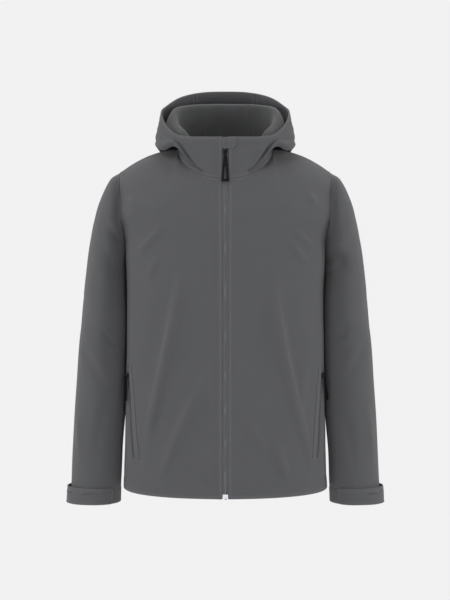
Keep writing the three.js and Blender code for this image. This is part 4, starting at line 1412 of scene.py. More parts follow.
SLEEVE_MM_A_DEGREE = 0.92
SLEEVE_MM_ALONG = 690.0
SLEEVE_CREASES = {
    -1: (
        SleeveCrease(142, 0.005, 95, 0.07, 45, 0.145, 10, 3.5),
        SleeveCrease(150, 0.03, 105, 0.105, 60, 0.175, 12, -4.5),
        SleeveCrease(40, 0.56, 76, 0.6, 115, 0.66, 14, -4.0),
        SleeveCrease(38, 0.76, 46, 0.82, 57, 0.89, 9, 3.0),
        SleeveCrease(98, 0.47, 128, 0.5, 158, 0.49, 9, -3.0),
        SleeveCrease(232, 0.5, 262, 0.52, 290, 0.49, 9, -3.5),
        SleeveCrease(250, 0.2, 262, 0.42, 252, 0.7, 16, 3.0),
        SleeveCrease(300, 0.3, 290, 0.5, 305, 0.62, 14, -2.5),
        SleeveCrease(215, 0.02, 258, 0.09, 300, 0.15, 11, 3.0),
        SleeveCrease(118, 0.7, 100, 0.8, 92, 0.92, 12, -2.5),
        SleeveCrease(206, 0.04, 206, 0.27, 208, 0.48, 22, 4.0),
        SleeveCrease(196, 0.01, 200, 0.1, 204, 0.21, 16, 4.0),
        SleeveCrease(150, 0.16, 152, 0.45, 150, 0.95, 24, 9.0),
        SleeveCrease(152, -0.03, 148, 0.08, 142, 0.21, 30, 9.0),
        SleeveCrease(209, 0.4, 209, 0.6, 209, 0.85, 20, 3.0),
    ),
    1: (
        SleeveCrease(143, 0.08, 105, 0.17, 68, 0.25, 9, 4.0),
        SleeveCrease(150, 0.12, 115, 0.21, 80, 0.29, 13, -6.0),
        SleeveCrease(45, 0.53, 77, 0.585, 110, 0.63, 15, -4.0),
        SleeveCrease(60, 0.72, 52, 0.8, 44, 0.9, 10, 2.5),
        SleeveCrease(96, 0.45, 126, 0.485, 156, 0.47, 9, -3.0),
        SleeveCrease(230, 0.47, 258, 0.5, 288, 0.48, 9, -3.2),
        SleeveCrease(246, 0.25, 256, 0.44, 244, 0.66, 16, 3.0),
        SleeveCrease(296, 0.4, 286, 0.56, 300, 0.7, 14, -2.5),
        SleeveCrease(212, 0.03, 255, 0.1, 296, 0.16, 11, 3.0),
        SleeveCrease(112, 0.74, 104, 0.84, 96, 0.94, 12, -2.0),
        SleeveCrease(206, 0.04, 206, 0.27, 208, 0.48, 22, 4.0),
        SleeveCrease(196, 0.01, 200, 0.1, 204, 0.21, 16, 4.0),
        SleeveCrease(150, 0.16, 152, 0.45, 150, 0.95, 24, 9.0),
        SleeveCrease(152, -0.03, 148, 0.08, 142, 0.21, 30, 9.0),
        SleeveCrease(209, 0.4, 209, 0.6, 209, 0.85, 20, 3.0),
    ),
}


@dataclass
class Sleeve:
    """A set-in sleeve, open at the armhole and the cuff."""

    name: str
    side: int
    book: StitchBook
    surface: ClothSurface = field(init=False)

    def __post_init__(self) -> None:
        """Shapes the cloth and sews its edges."""
        turns = np.linspace(0, 360, 97)
        hem_at = 1 - CUFF_HEM_LINE / SLEEVE_MM_ALONG
        alongs = np.unique(np.append(shares_over(SLEEVE_MM_ALONG, CLOTH_PITCH), hem_at))
        if self.side < 0:
            turns = -turns[::-1]

        def shape(turn: Array, along: Array) -> Array:
            """The sleeve's points, on its own side."""
            return sleeve_point(np.abs(turn), along) * np.array((self.side, 1, 1))

        self.surface = ClothSurface(turns, alongs, shape, tube=True)
        cloth = self.surface
        turn, along = np.abs(cloth.across), cloth.up
        plan_x, plan_z = turn * SLEEVE_MM_A_DEGREE, along * SLEEVE_MM_ALONG
        creases = [
            Crease(
                row.turn0 * SLEEVE_MM_A_DEGREE,
                row.along0 * SLEEVE_MM_ALONG,
                row.turn1 * SLEEVE_MM_A_DEGREE,
                row.along1 * SLEEVE_MM_ALONG,
                row.turn2 * SLEEVE_MM_A_DEGREE,
                row.along2 * SLEEVE_MM_ALONG,
                row.width,
                row.height,
            )
            for row in SLEEVE_CREASES[self.side]
        ]
        waves = soft_waves(np.cos(np.radians(turn)) * 60, plan_z, WAVE_HEIGHT, WAVE_LENGTH, 1.3 * self.side)
        kept = ease(plan_z, 0.5, 12) * ease(SLEEVE_MM_ALONG - plan_z, 2, 46)
        cloth.push((crease_lift(creases, plan_x, plan_z) + waves) * kept)
        cloth.give_wall(WALL)
        sew_down(cloth, cloth.distance_from(Border.TOP), CUFF_HEM_LINE, RAISED, GROOVE)
        roll_in(cloth, (Border.BOTTOM,))
        roll_in(cloth, (Border.TOP,), radius=1.0, depth=0.8)
        self.book.run("sleeves", cloth, *line_beside(cloth, Border.TOP, CUFF_HEM_LINE))

    def piece(self) -> ClothPiece:
        """The sleeve to be made."""
        cut = Cut(0.4, 0.7, 0.212)
        return ClothPiece(self.name, self.surface, cut, (Border.BOTTOM, Border.TOP), ("back",))


HOOD_MM_ROUND = 380.0
HOOD_MM_UP = 360.0
HOOD_CREASES = (
    Crease(76, 312, 64, 262, 50, 206, 7, 3.0),
    Crease(92, 300, 78, 256, 62, 204, 8, -7.0),
    Crease(60, 118, 84, 98, 112, 84, 9, -3.0),
    Crease(150, 250, 176, 236, 204, 238, 14, -3.0),
    Crease(120, 300, 150, 292, 186, 300, 12, 2.4),
    Crease(214, 262, 236, 254, 262, 262, 14, 2.4),
)
HOOD_CENTRE_CREASES = (
    Crease(-30, 258, 0, 250, 34, 262, 14, 2.2),
    Crease(-40, 220, -4, 208, 40, 216, 16, -2.2),
)
HOOD_FACING = 24.0
SEAM_BINDING = 0.7
SEAM_PARTING = 1.6


@dataclass
class HoodPanel:
    """One side of the hood or its middle panel."""

    name: str
    side: int
    book: StitchBook
    surface: ClothSurface = field(init=False)

    def __post_init__(self) -> None:
        """Shapes the cloth and sews its edges."""
        first, last = (CENTRE_PANEL_FROM, 1.0) if self.side == 0 else (0.0, CENTRE_PANEL_FROM)
        shares = shares_over(HOOD_MM_ROUND * (last - first), CLOTH_PITCH * 0.8, True, self.side != 0)
        turns = mix(first, last, shares)
        if self.side == 0:
            turns = np.concatenate([turns - 1, 1 - turns[::-1][1:]])
        elif self.side < 0:
            turns = -turns[::-1]
        ups = shares_over(HOOD_MM_UP, CLOTH_PITCH * 0.8)

        def shape(turn: Array, up: Array) -> Array:
            """The panel's points; the middle panel has the wearer's left first."""
            points = hood_point(1 - np.abs(turn) if self.side == 0 else np.abs(turn), up)
            points[:, 0] *= np.where(turn <= 0, 1, -1) if self.side == 0 else self.side
            return points

        self.surface = ClothSurface(turns, ups, shape)
        cloth = self.surface
        plan_x = cloth.across * HOOD_MM_ROUND
        plan_z = cloth.up * HOOD_MM_UP
        inside = ease(cloth.nearest(tuple(Border)), 2, 30)
        cloth.push(soft_waves(plan_x, plan_z, 0.6, 120.0, 0.9 + self.side) * inside)
        creases = HOOD_CREASES if self.side else HOOD_CENTRE_CREASES
        lift = crease_lift(creases, np.abs(plan_x) if self.side else plan_x, plan_z)
        cloth.push(lift * ease(inside, 0, 0.3))
        cloth.give_wall(WALL)
        self._sew()

    def _sew(self) -> None:
        """Rolls the seams, raises the doubled edges and runs their stitches."""
        cloth = self.surface
        panel_seams = {0: (Border.START, Border.END), 1: (Border.END,), -1: (Border.START,)}[self.side]
        sew_down(cloth, cloth.distance_from(Border.TOP), FACE_HEM_LINE, RAISED, GROOVE)
        for border in panel_seams:
            sew_down(cloth, cloth.distance_from(border), SEAM_LINE, 0.4, 0.35)
            self.book.run("hood", cloth, *line_beside(cloth, border, SEAM_LINE, 0.02, 0.98))
        self.book.run("hood", cloth, *line_beside(cloth, Border.TOP, FACE_HEM_LINE))
        if self.side:
            zip_border = Border.START if self.side > 0 else Border.END
            line = WIDE_ZIP_LINE if self.side < 0 else SEAM_LINE
            sew_down(cloth, cloth.distance_from(zip_border), line, RAISED, GROOVE)
            self.book.run("hood", cloth, *line_beside(cloth, zip_border, line, 0.02, 0.98))
            roll_in(cloth, (zip_border,), radius=1.0, depth=0.8)
        roll_in(cloth, (*panel_seams, Border.BOTTOM))
        roll_in(cloth, (Border.TOP,), radius=1.0, depth=0.8)
        near = cloth.nearest(panel_seams)
        bound = SEAM_BINDING * (1 - ease(near, 4.0, 5.2)) - SEAM_PARTING * np.exp(-((near / 1.1) ** 2))
        hem = SEAM_BINDING * (1 - ease(cloth.distance_from(Border.TOP), FACE_HEM_LINE, FACE_HEM_LINE + 1.5))
        cloth.inner = cloth.inner - cloth.normals() * (bound + hem)[..., None]

    def piece(self) -> ClothPiece:
        """The panel to be made."""
        cut = Cut(0.17, 0.42, 0.06) if self.side == 0 else Cut(0.27, 0.36, 0.0625)
        under = ("hood_left", "hood_right", "back") if self.side == 0 else ("hood_centre", "back")
        return ClothPiece(self.name, self.surface, cut, tuple(Border), under, facing=HOOD_FACING)


# Zips, guard and tabs


def block(
    mesh: bmesh.types.BMesh, size: Sequence[float], place: Sequence[float], rounded: float
) -> list[bmesh.types.BMVert]:
    """Adds a box with rounded edges, in millimetres, and returns its vertices."""
    spot = Matrix.Translation(Vector(place)) @ Matrix.Diagonal((*size, 1))
    verts = bmesh.ops.create_cube(mesh, size=1, matrix=spot)["verts"]
    edges = list({edge for vert in verts for edge in vert.link_edges})
    cut = bmesh.ops.bevel(
        mesh, geom=edges, offset=rounded, segments=3, profile=0.5, affect="EDGES", material=-1
    )
    bevelled = {vert for face in cut["faces"] for vert in face.verts}
    return list(bevelled | {vert for vert in verts if vert.is_valid})


@dataclass(frozen=True)
class PullSizes:
    """A pull tab's sizes: down from its hinge, and half widths."""

    length: float
    neck: float
    neck_half: float
    shoulder_half: float
    bottom_half: float
    slot_from: float
    rim: float
    lean: float


MAIN_PULL = PullSizes(62, 8, 2.5, 3.6, 8.0, 30, 5.4, 5)
POCKET_PULL = PullSizes(52, 8, 2.5, 3.0, 5.4, 22, 3.0, 2)


@dataclass
class Pull:
    """A slider on its zip, with the pull tab that hangs from it."""

    slider: str
    puller: str
    sizes: PullSizes

    THICKNESS = 2.2
    BARREL = 1.3
    BASE = 2.6
    SHOULDER_DROP = 2.0
    CORNER = 1.5
    EDGE = 0.45
    SLOT_TOP_SHARE = 0.35
    SLOT_SILL_SHARE = 0.8
    SHARP = math.radians(25)

    def axes(self) -> Matrix:
        """From the tab's axes in millimetres (x on its hinge, y up the zip, z off the cloth) to the scene."""
        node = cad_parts[self.slider]
        corners = [node.matrix_world @ vert.co for vert in node.data.vertices]
        points = np.unique(np.round(np.array(corners), 6), axis=0) / METRES
        middle = points.mean(0)
        main_ways = np.linalg.svd(points - middle)[2]
        up = main_ways[0] * np.sign(main_ways[0][2])
        out = main_ways[2] * -np.sign(main_ways[2][1])
        across = np.cross(up, out)
        heights = points @ up
        hinge_out = (points @ out).min() + self.BASE + SEAM_GAP + self.BARREL
        hinge = across * (middle @ across) + up * (heights.min() + heights.max()) / 2 + out * hinge_out
        turn = Matrix(np.stack([across, up, out], axis=1).tolist()).to_4x4()
        return Matrix.Scale(METRES, 4) @ Matrix.Translation(Vector(hinge)) @ turn

    def slider_mesh(self) -> bmesh.types.BMesh:
        """The slider: a rounded base that narrows downwards, its rails, two ears and their pin."""
        made = bmesh.new()
        for vert in block(made, (9, 11, 2.5), (0, 0, -2.9), 0.9):
            vert.co.x *= 1 - 0.22 * max(0.0, -vert.co.y) / 5.5
        for side in (-1, 1):
            block(made, (1.5, 5.4, 3.4), (side * 3.7, 0.4, -0.05), 0.6)
            block(made, (0.8, 8.6, 0.9), (side * 3.7, 0.6, -3.9), 0.3)
        pin = Matrix.Rotation(math.pi / 2, 4, "Y")
        bmesh.ops.create_cone(
            made, cap_ends=True, segments=16, radius1=0.6, radius2=0.6, depth=8.4, matrix=pin
        )
        block(made, (2.2, 2.4, 0.7), (0, 3.6, -1.5), 0.3)
        return made

    def tab_mesh(self) -> bmesh.types.BMesh:
        """The tab: a neck round the pin, and a plate that widens downwards with a slot through it."""
        sizes, made = self.sizes, bmesh.new()
        shoulder, sill = -sizes.neck - self.SHOULDER_DROP, -sizes.length + sizes.rim * self.SLOT_SILL_SHARE
        slot_half = sizes.bottom_half - sizes.rim
        rims = (
            (sizes.shoulder_half, shoulder, sizes.bottom_half, -sizes.length),
            (slot_half * self.SLOT_TOP_SHARE, -sizes.slot_from, slot_half, sill),
        )
        edges = []
        for top_half, top, bottom_half, bottom in rims:
            corners = ((-top_half, top), (-bottom_half, bottom), (bottom_half, bottom), (top_half, top))
            verts = [made.verts.new((x, y, 0)) for x, y in corners]
            edges += [made.edges.new((verts[k - 1], verts[k])) for k in range(4)]
        bmesh.ops.bridge_loops(made, edges=edges)
        top_edge = edges[0]
        for height in (-sizes.neck, 0.0):
            grown = bmesh.ops.extrude_edge_only(made, edges=[top_edge])["geom"]
            for vert in (item for item in grown if isinstance(item, bmesh.types.BMVert)):
                vert.co = (math.copysign(sizes.neck_half, vert.co.x), height, 0)
            top_edge = next(
                item for item in grown if isinstance(item, bmesh.types.BMEdge) and len(item.link_faces) == 1
                and all(abs(vert.co.y - height) < 1e-6 for vert in item.verts)
            )
        grown = bmesh.ops.extrude_face_region(made, geom=made.faces[:])["geom"]
        moved = [item for item in grown if isinstance(item, bmesh.types.BMVert)]
        bmesh.ops.translate(made, verts=moved, vec=(0, 0, self.THICKNESS))
        bmesh.ops.translate(made, verts=made.verts[:], vec=(0, 0, -self.THICKNESS / 2))
        bmesh.ops.recalc_face_normals(made, faces=made.faces[:])
        upright = [
            edge for edge in made.edges
            if abs(edge.verts[0].co.z - edge.verts[1].co.z) > 1 and edge.calc_face_angle(0) > self.SHARP
        ]
        bmesh.ops.bevel(
            made, geom=upright, offset=self.CORNER * 0.8, segments=4, profile=0.5, affect="EDGES",
            clamp_overlap=True, material=-1,
        )
        sharp = [edge for edge in made.edges if edge.calc_face_angle(0) > self.SHARP]
        bmesh.ops.bevel(
            made, geom=sharp, offset=self.EDGE, segments=3, profile=0.5, affect="EDGES", clamp_overlap=True,
            material=-1,
        )
        ring = Matrix.Rotation(math.pi / 2, 4, "Y")
        bmesh.ops.create_cone(
            made, cap_ends=True, segments=24, radius1=self.BARREL, radius2=self.BARREL,
            depth=2 * sizes.neck_half, matrix=ring,
        )
        lean = Matrix.Rotation(-math.radians(sizes.lean), 4, "X")
        bmesh.ops.transform(made, matrix=lean, verts=made.verts[:])
        return made

    def make(self, room: Workroom) -> None:
        """Makes the slider on the garment, and the tab on its own body."""
        axes = self.axes()
        parts = (
            (self.slider, self.slider_mesh(), SLIDER_METAL, ROOT_BODY),
            (self.puller, self.tab_mesh(), RUBBER, self.puller),
        )
        for node, mesh, finish, body in parts:
            bmesh.ops.transform(mesh, matrix=axes, verts=mesh.verts[:])
            for face in mesh.faces:
                face.smooth = True
            made = room.put(f"{node}_made", mesh, (finish,), body)
            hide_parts(node)


def lay_strip(
    columns: Array, rows: Array, places: Array, outward: Array, thickness: float
) -> ClothSurface:
    """A strip of cloth through given points.

    Args:
        columns: The first parameter of the points.
        rows: The second.
        places: The points, a row of them for each row.
        outward: The way out of the garment at each point.
        thickness: The thickness of the strip.

    Returns:
        The strip, with its inner face.
    """
    strip = ClothSurface(columns, rows, lambda across, up: places.reshape(-1, 3))
    strip.inner = places - outward * thickness
    return strip


@dataclass
class FrontZip:
    """The two tapes behind the front edges, with the coils that meet between them."""

    fronts: dict[str, FrontPanel]
    hoods: dict[str, HoodPanel]

    COLUMNS = (0.05, 0.5, 0.9, 1.4, 2.0, 2.8, 3.8, 5.0, 6.5, 9.0, 12.5)
    RIDGE = 1.7
    RIDGE_WIDTH = 2.4
    LAST_HOOD_SHARE = 0.955
    TAPE_REACH = 7.0
    COIL_PITCH = 1.25
    COIL_RADIUS = 0.42
    COIL_HALF = 1.5

    def edge(self, name: str, side: int) -> tuple[Array, Array, Array]:
        """The inner face's points along the zip, those one step inside the edge, and the way out."""
        found = []
        for panel in (self.fronts[name], self.hoods[name]):
            cloth = panel.surface
            keep = cloth.rows <= (self.LAST_HOOD_SHARE if isinstance(panel, HoodPanel) else 1)
            first = cloth.columns[0 if side > 0 else -1]
            border = Border.START if side > 0 else Border.END
            across, _ = line_beside(cloth, border, self.TAPE_REACH)
            rows = cloth.rows[keep]
            at_edge = cloth.inner[keep, 0 if side > 0 else -1]
            beyond = cloth.inner_place(across[keep], rows)
            way = cloth.direction(np.full(len(rows), mix(first, across.mean(), 0.6)), rows)
            found.append((at_edge, beyond, way))
        return tuple(np.concatenate(parts) for parts in zip(*found))

    def tape(self, name: str, side: int) -> ClothSurface:
        """One tape."""
        at_edge, beyond, way = self.edge(name, side)
        columns = np.array(self.COLUMNS)
        places = []
        for x in columns:
            if x < ZIP_HALF_WIDTH:
                point = at_edge - way * SEAM_GAP
                point[:, 0] = side * x
                point = point + way * self.RIDGE * math.exp(-((x / self.RIDGE_WIDTH) ** 2))
            else:
                share = (x - ZIP_HALF_WIDTH) / np.abs(beyond[:, :1] - at_edge[:, :1])
                point = mix(at_edge, beyond, share) - way * (SEAM_GAP + 0.05)
            places.append(point)
        grid = np.stack(places, axis=1)
        ways = np.repeat(way[:, None], len(columns), axis=1)
        if side < 0:
            columns, grid = -columns[::-1], grid[:, ::-1]
        rows = np.concatenate([[0], np.cumsum(np.linalg.norm(np.diff(at_edge, axis=0), axis=1))])
        return lay_strip(columns, rows, grid, ways, TAPE_WALL)

    def coil_mesh(self) -> bmesh.types.BMesh:
        """The coil's turns, one bar for each across the parting of the tapes."""
        at_edge, _, way = self.edge("left", 1)
        line = at_edge - way * (SEAM_GAP + 0.1)
        line[:, 0] = 0
        gone = np.concatenate([[0], np.cumsum(np.linalg.norm(np.diff(line, axis=0), axis=1))])
        made = bmesh.new()
        across = Matrix.Rotation(math.pi / 2, 4, "Y")
        for k in range(int(gone[-1] / self.COIL_PITCH)):
            at = (k + 0.5) * self.COIL_PITCH
            point = np.array([np.interp(at, gone, line[:, axis]) for axis in range(3)])
            point[0] = 0.35 if k % 2 else -0.35
            spot = Matrix.Translation(Vector(point * METRES)) @ across
            bmesh.ops.create_cone(
                made, cap_ends=True, segments=6, radius1=self.COIL_RADIUS * METRES,
                radius2=self.COIL_RADIUS * METRES, depth=2 * self.COIL_HALF * METRES, matrix=spot,
            )
        return made

    def make(self, room: Workroom) -> None:
        """Makes the tapes and the coil."""
        for name, side in SIDES:
            tape = self.tape(name, side)
            cut = Cut(0.0125, 0.81, 0.0098)
            rests = (f"front_{name}", f"hood_{name}")
            # The tapes take the zip tape finish, painted lighter than the cloth.
            ClothPiece(f"zip_tape_{name}", tape, cut, (), rests, (ZIP_TAPE_PAINTED_LIGHTER, ZIP_TAPE_PAINTED_LIGHTER), "zip_tape").make(room)
        room.put("front_zip_coil", self.coil_mesh(), (COIL,))


@dataclass
class ChinGuard:
    """The flap over the top end of the zip, its lower outer corner rounded."""

    hood_left: HoodPanel
    book: StitchBook

    FROM, TO = -6.3, 23.0
    BOTTOM, CORNER = 0.853, 0.915
    CORNER_WIDTH = 10.0
    TOP = 0.992
    LIFT = SEAM_GAP + TRIM_WALL + 0.45
    STITCHES_IN = 2.6

    def make(self, room: Workroom) -> None:
        """Makes the flap and its stitches."""
        hood = self.hood_left.surface
        along_top = hood.distance_from(Border.START)[-12]
        xs = np.linspace(self.FROM, self.TO, 34)
        shares = np.linspace(0, 1, 26)
        across = np.interp(np.maximum(xs - ZIP_HALF_WIDTH, 0), along_top, hood.columns)
        reach = np.clip((xs - self.TO + self.CORNER_WIDTH) / self.CORNER_WIDTH, 0, 1)
        bottom = mix(self.BOTTOM, self.CORNER, 1 - np.sqrt(1 - reach * reach))
        ups = mix(bottom[None], self.TOP, shares[:, None])
        grid_across = np.broadcast_to(across, ups.shape)
        places = hood.place(grid_across.ravel(), ups.ravel(), self.LIFT).reshape(*ups.shape, 3)
        ways = hood.direction(grid_across.ravel(), ups.ravel()).reshape(*ups.shape, 3)
        over_zip = xs < ZIP_HALF_WIDTH
        places[:, over_zip, 0] = xs[over_zip]
        crosswise = np.sin(np.pi * (xs - xs[0]) / (xs[-1] - xs[0]))
        puffed = np.sin(np.pi * np.clip(shares, 0.05, 0.95))[:, None] * crosswise
        places += ways * (0.5 * puffed)[..., None]
        flap = lay_strip(xs, shares, places, ways, TRIM_WALL)
        near = flap.nearest((Border.START, Border.END, Border.BOTTOM))
        sew_down(flap, near, self.STITCHES_IN, 0.25, 0.35)
        roll_in(flap, tuple(Border), radius=0.9, depth=0.7)
        inset = (xs[0] + self.STITCHES_IN, xs[-1] - self.STITCHES_IN)
        self.book.run("trim", flap, *line_beside(flap, Border.BOTTOM, self.STITCHES_IN, *inset))
        self.book.run("trim", flap, *line_beside(flap, Border.END, self.STITCHES_IN, 0.12, 1))
        self.book.run("trim", flap, *line_beside(flap, Border.START, self.STITCHES_IN, 0.1, 1))
        tack = np.linspace(-0.5, 8.0, 12)
        for share in (0.1, 0.19):
            self.book.run("trim", flap, tack, np.full_like(tack, share))
        cut = Cut(0.031, 0.027, 0.0007)
        ClothPiece("chin_guard", flap, cut, tuple(Border), ("hood_left",), TRIM_FINISHES).make(room)


@dataclass
class CuffTab:
    """The closing tab round the outside of a sleeve's end, its free end's corners rounded."""

    name: str
    side: int
    sleeve: Sleeve
    book: StitchBook

    FROM, TO = -54.0, 137.0
    HEIGHT = 34.0
    PROUD = 5.6
    LIFT = SEAM_GAP + TRIM_WALL + 0.55
    MM_TO_ALONG = 0.1 / 82
    CORNER = 6.0
    STITCHES_IN = 3.0

    def make(self, room: Workroom) -> None:
        """Makes the tab and its stitches."""
        cloth = self.sleeve.surface
        turns = np.linspace(self.FROM, self.TO, 90)
        downs = np.concatenate([[0, 0.4, 1, 1.8, 2.8, 4, 6], np.linspace(8, self.HEIGHT - 8, 8)])
        downs = np.unique(np.concatenate([downs, self.HEIGHT - downs]))
        to_end = (self.TO - turns) * SLEEVE_MM_A_DEGREE
        corner = np.clip(self.CORNER - to_end, 0, self.CORNER)
        taken = self.CORNER - np.sqrt(self.CORNER**2 - corner**2)
        inward = 1 - 2 * downs / self.HEIGHT
        heights = downs[:, None] + taken[None] * inward[:, None]
        along = 1 - (self.HEIGHT - heights) * self.MM_TO_ALONG
        around = np.broadcast_to((turns + 360) % 360 * self.side, along.shape)
        proud = self.PROUD * np.maximum(np.cos(np.radians(turns)), 0) ** 2
        lift = np.broadcast_to(self.LIFT + proud, along.shape)
        ways = cloth.direction(around.ravel(), along.ravel()).reshape(*along.shape, 3)
        ways = unit(ways * np.array((1, 1, 0)))
        places = cloth.place(around.ravel(), along.ravel()).reshape(*along.shape, 3)
        places = places + ways * lift[..., None]
        columns = turns
        if self.side < 0:
            columns, places, ways = -turns[::-1], places[:, ::-1], ways[:, ::-1]
        tab = lay_strip(columns, downs, places, ways, TRIM_WALL)
        tab.push(soft_waves(tab.across * SLEEVE_MM_A_DEGREE, tab.up * 3, 0.35, 60.0, 0.4 * self.side))
        tab.inner = tab.points - ways * TRIM_WALL
        sew_down(tab, tab.nearest(tuple(Border)), self.STITCHES_IN, 0.3, 0.2)
        roll_in(tab, tuple(Border), radius=0.9, depth=0.7)
        for border in (Border.TOP, Border.BOTTOM):
            self.book.run("trim", tab, *line_beside(tab, border, self.STITCHES_IN))
        for border in (Border.START, Border.END):
            low, high = self.STITCHES_IN + 0.5, self.HEIGHT - self.STITCHES_IN - 0.5
            self.book.run("trim", tab, *line_beside(tab, border, self.STITCHES_IN, low, high))
        cut = Cut(0.2, 0.035, 0.0068)
        rests = (f"sleeve_{self.name}",)
        ClothPiece(f"cuff_tab_{self.name}", tab, cut, tuple(Border), rests, TRIM_FINISHES).make(room)


@dataclass
class Pocket:
    """A side pocket's opening: its zip in the groove, and the welt in front of it."""

    name: str
    side: int
    front: FrontPanel
    book: StitchBook

    ZIP_OFFSETS = (-3.1, -2.2, -1.3, -0.5, 0.5, 1.3, 2.2, 3.1)
    ZIP_LIFT = 1.0
    ZIP_RIDGE = 0.7
    WELT = (-15.0, -4.2)
    WELT_MARGIN = (0.0, 0.4, 1.2)
    LENGTH = 180.0
    WELT_LIFT = SEAM_GAP + 0.9
    ROWS = 70
    COIL_PITCH = 1.4
    COIL_HALF = 1.6
    COIL_RADIUS = 0.4
    STITCHES_IN = 1.8
    TACK_HALF = 4.5

    def lay(self, offsets: Array, shares: Array, lift: Array) -> ClothSurface:
        """A strip along the opening, between distances from its line."""
        line, cloth = self.front.pocket, self.front.surface
        ups = mix(line.ups[0], line.ups[-1], shares)
        off, up = np.meshgrid(offsets, ups)
        across = (line.across_at(up) + off / line.width) * self.side
        places = cloth.place(across.ravel(), up.ravel(), np.broadcast_to(lift, off.shape).ravel())
        ways = cloth.direction(across.ravel(), up.ravel())
        places, ways = places.reshape(*off.shape, 3), ways.reshape(*off.shape, 3)
        columns = np.asarray(offsets, float)
        if self.side < 0:
            columns, places, ways = -columns[::-1], places[:, ::-1], ways[:, ::-1]
        return lay_strip(columns, shares * self.LENGTH, places, ways, TAPE_WALL)

    def coil_mesh(self, strip: ClothSurface) -> bmesh.types.BMesh:
        """The coil's turns along the strip's middle."""
        made = bmesh.new()
        for k in range(int((self.LENGTH - 2) / self.COIL_PITCH)):
            up = 1 + k * self.COIL_PITCH
            ends = strip.place(np.array([-self.COIL_HALF, self.COIL_HALF]), np.full(2, up))
            out = strip.direction(np.array([0.0]), np.array([up]))[0]
            middle = (ends[0] + ends[1]) / 2 + out * 0.45
            turn = Vector(ends[1] - ends[0]).to_track_quat("Z", "Y").to_matrix().to_4x4()
            spot = Matrix.Translation(Vector(middle * METRES)) @ turn
            bmesh.ops.create_cone(
                made, cap_ends=True, segments=6, radius1=self.COIL_RADIUS * METRES,
                radius2=self.COIL_RADIUS * METRES, depth=2 * self.COIL_HALF * METRES, matrix=spot,
            )
        return made

    def make(self, room: Workroom) -> None:
        """Makes the zip, the welt, the bar tacks and the stitches."""
        shares = np.linspace(0, 1, self.ROWS)
        offsets = np.array(self.ZIP_OFFSETS)
        ridge = self.ZIP_LIFT + self.ZIP_RIDGE * np.exp(-((offsets / 1.4) ** 2))
        strip = self.lay(offsets, shares, ridge)
        # The pocket zip's tape and coil take the darker painted-shade finishes.
        made = room.put(f"pocket_zip_{self.name}_tape", cloth_mesh(strip, ()), (POCKET_TAPE_PAINTED_SHADE, POCKET_TAPE_PAINTED_SHADE))
        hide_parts(f"pocket_zip_{self.name}")
        room.put(f"pocket_coil_{self.name}", self.coil_mesh(strip), (POCKET_COIL_PAINTED_SHADE,))
        low, high = self.WELT
        margin = np.array(self.WELT_MARGIN)
        inside = np.linspace(low + margin[-1], high - margin[-1], 9)[1:-1]
        offsets = np.concatenate([low + margin, inside, high - margin[::-1]])
        welt = self.lay(offsets, mix(-0.012, 1.012, shares), self.WELT_LIFT)
        near = welt.nearest((Border.START, Border.END))
        sew_down(welt, near, self.STITCHES_IN, 0.25, 0.3)
        roll_in(welt, tuple(Border), radius=1.1, depth=0.9)
        for border in (Border.START, Border.END):
            self.book.run("trim", welt, *line_beside(welt, border, self.STITCHES_IN, 3, self.LENGTH - 3))
        cut = Cut(0.0112, 0.184, 0.002)
        rests = (f"front_{self.name}",)
        seams = (Border.START, Border.END)
        ClothPiece(f"pocket_welt_{self.name}", welt, cut, seams, rests, TRIM_FINISHES).make(room)
        line = self.front.pocket
        tack = np.linspace(-self.TACK_HALF, self.TACK_HALF, 10) / line.width
        for share in (-0.02, -0.012, 1.012, 1.02):
            up = mix(line.ups[0], line.ups[-1], share)
            across = (float(line.across_at(up)) + tack) * self.side
            self.book.run("fronts", self.front.surface, across, np.full_like(across, up))


@dataclass
class EndBox:
    """The pale box and pin that hold the zip's lower end."""

    ROUNDED = 0.7
    PIN_SHARE = 0.36

    def make(self, room: Workroom) -> None:
        """Makes the box beside the pin."""
        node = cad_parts["zip_end_box"]
        points = np.array([node.matrix_world @ vert.co for vert in node.data.vertices]) / METRES
        low, high = points.min(0), points.max(0)
        size, made = high - low, bmesh.new()
        pin_width = size[0] * self.PIN_SHARE
        box_width = size[0] - pin_width - 0.4
        middle = (low + high) / 2
        box_place = (low[0] + box_width / 2, middle[1], middle[2])
        pin_place = (high[0] - pin_width / 2, middle[1], middle[2])
        block(made, (box_width, size[1], size[2]), box_place, self.ROUNDED)
        block(made, (pin_width, size[1] * 0.8, size[2] * 0.96), pin_place, self.ROUNDED)
        for share in (0.3, 0.5, 0.7):
            height = mix(low[2], high[2], share)
            block(made, (box_width * 0.6, 0.5, 0.7), (low[0] + box_width / 2, low[1] + 0.1, height), 0.2)
        bmesh.ops.scale(made, vec=(METRES,) * 3, verts=made.verts[:])
        for face in made.faces:
            face.smooth = True
        box = room.put("zip_end_box_made", made, (END_PLASTIC,))
        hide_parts("zip_end_box")


# Studio


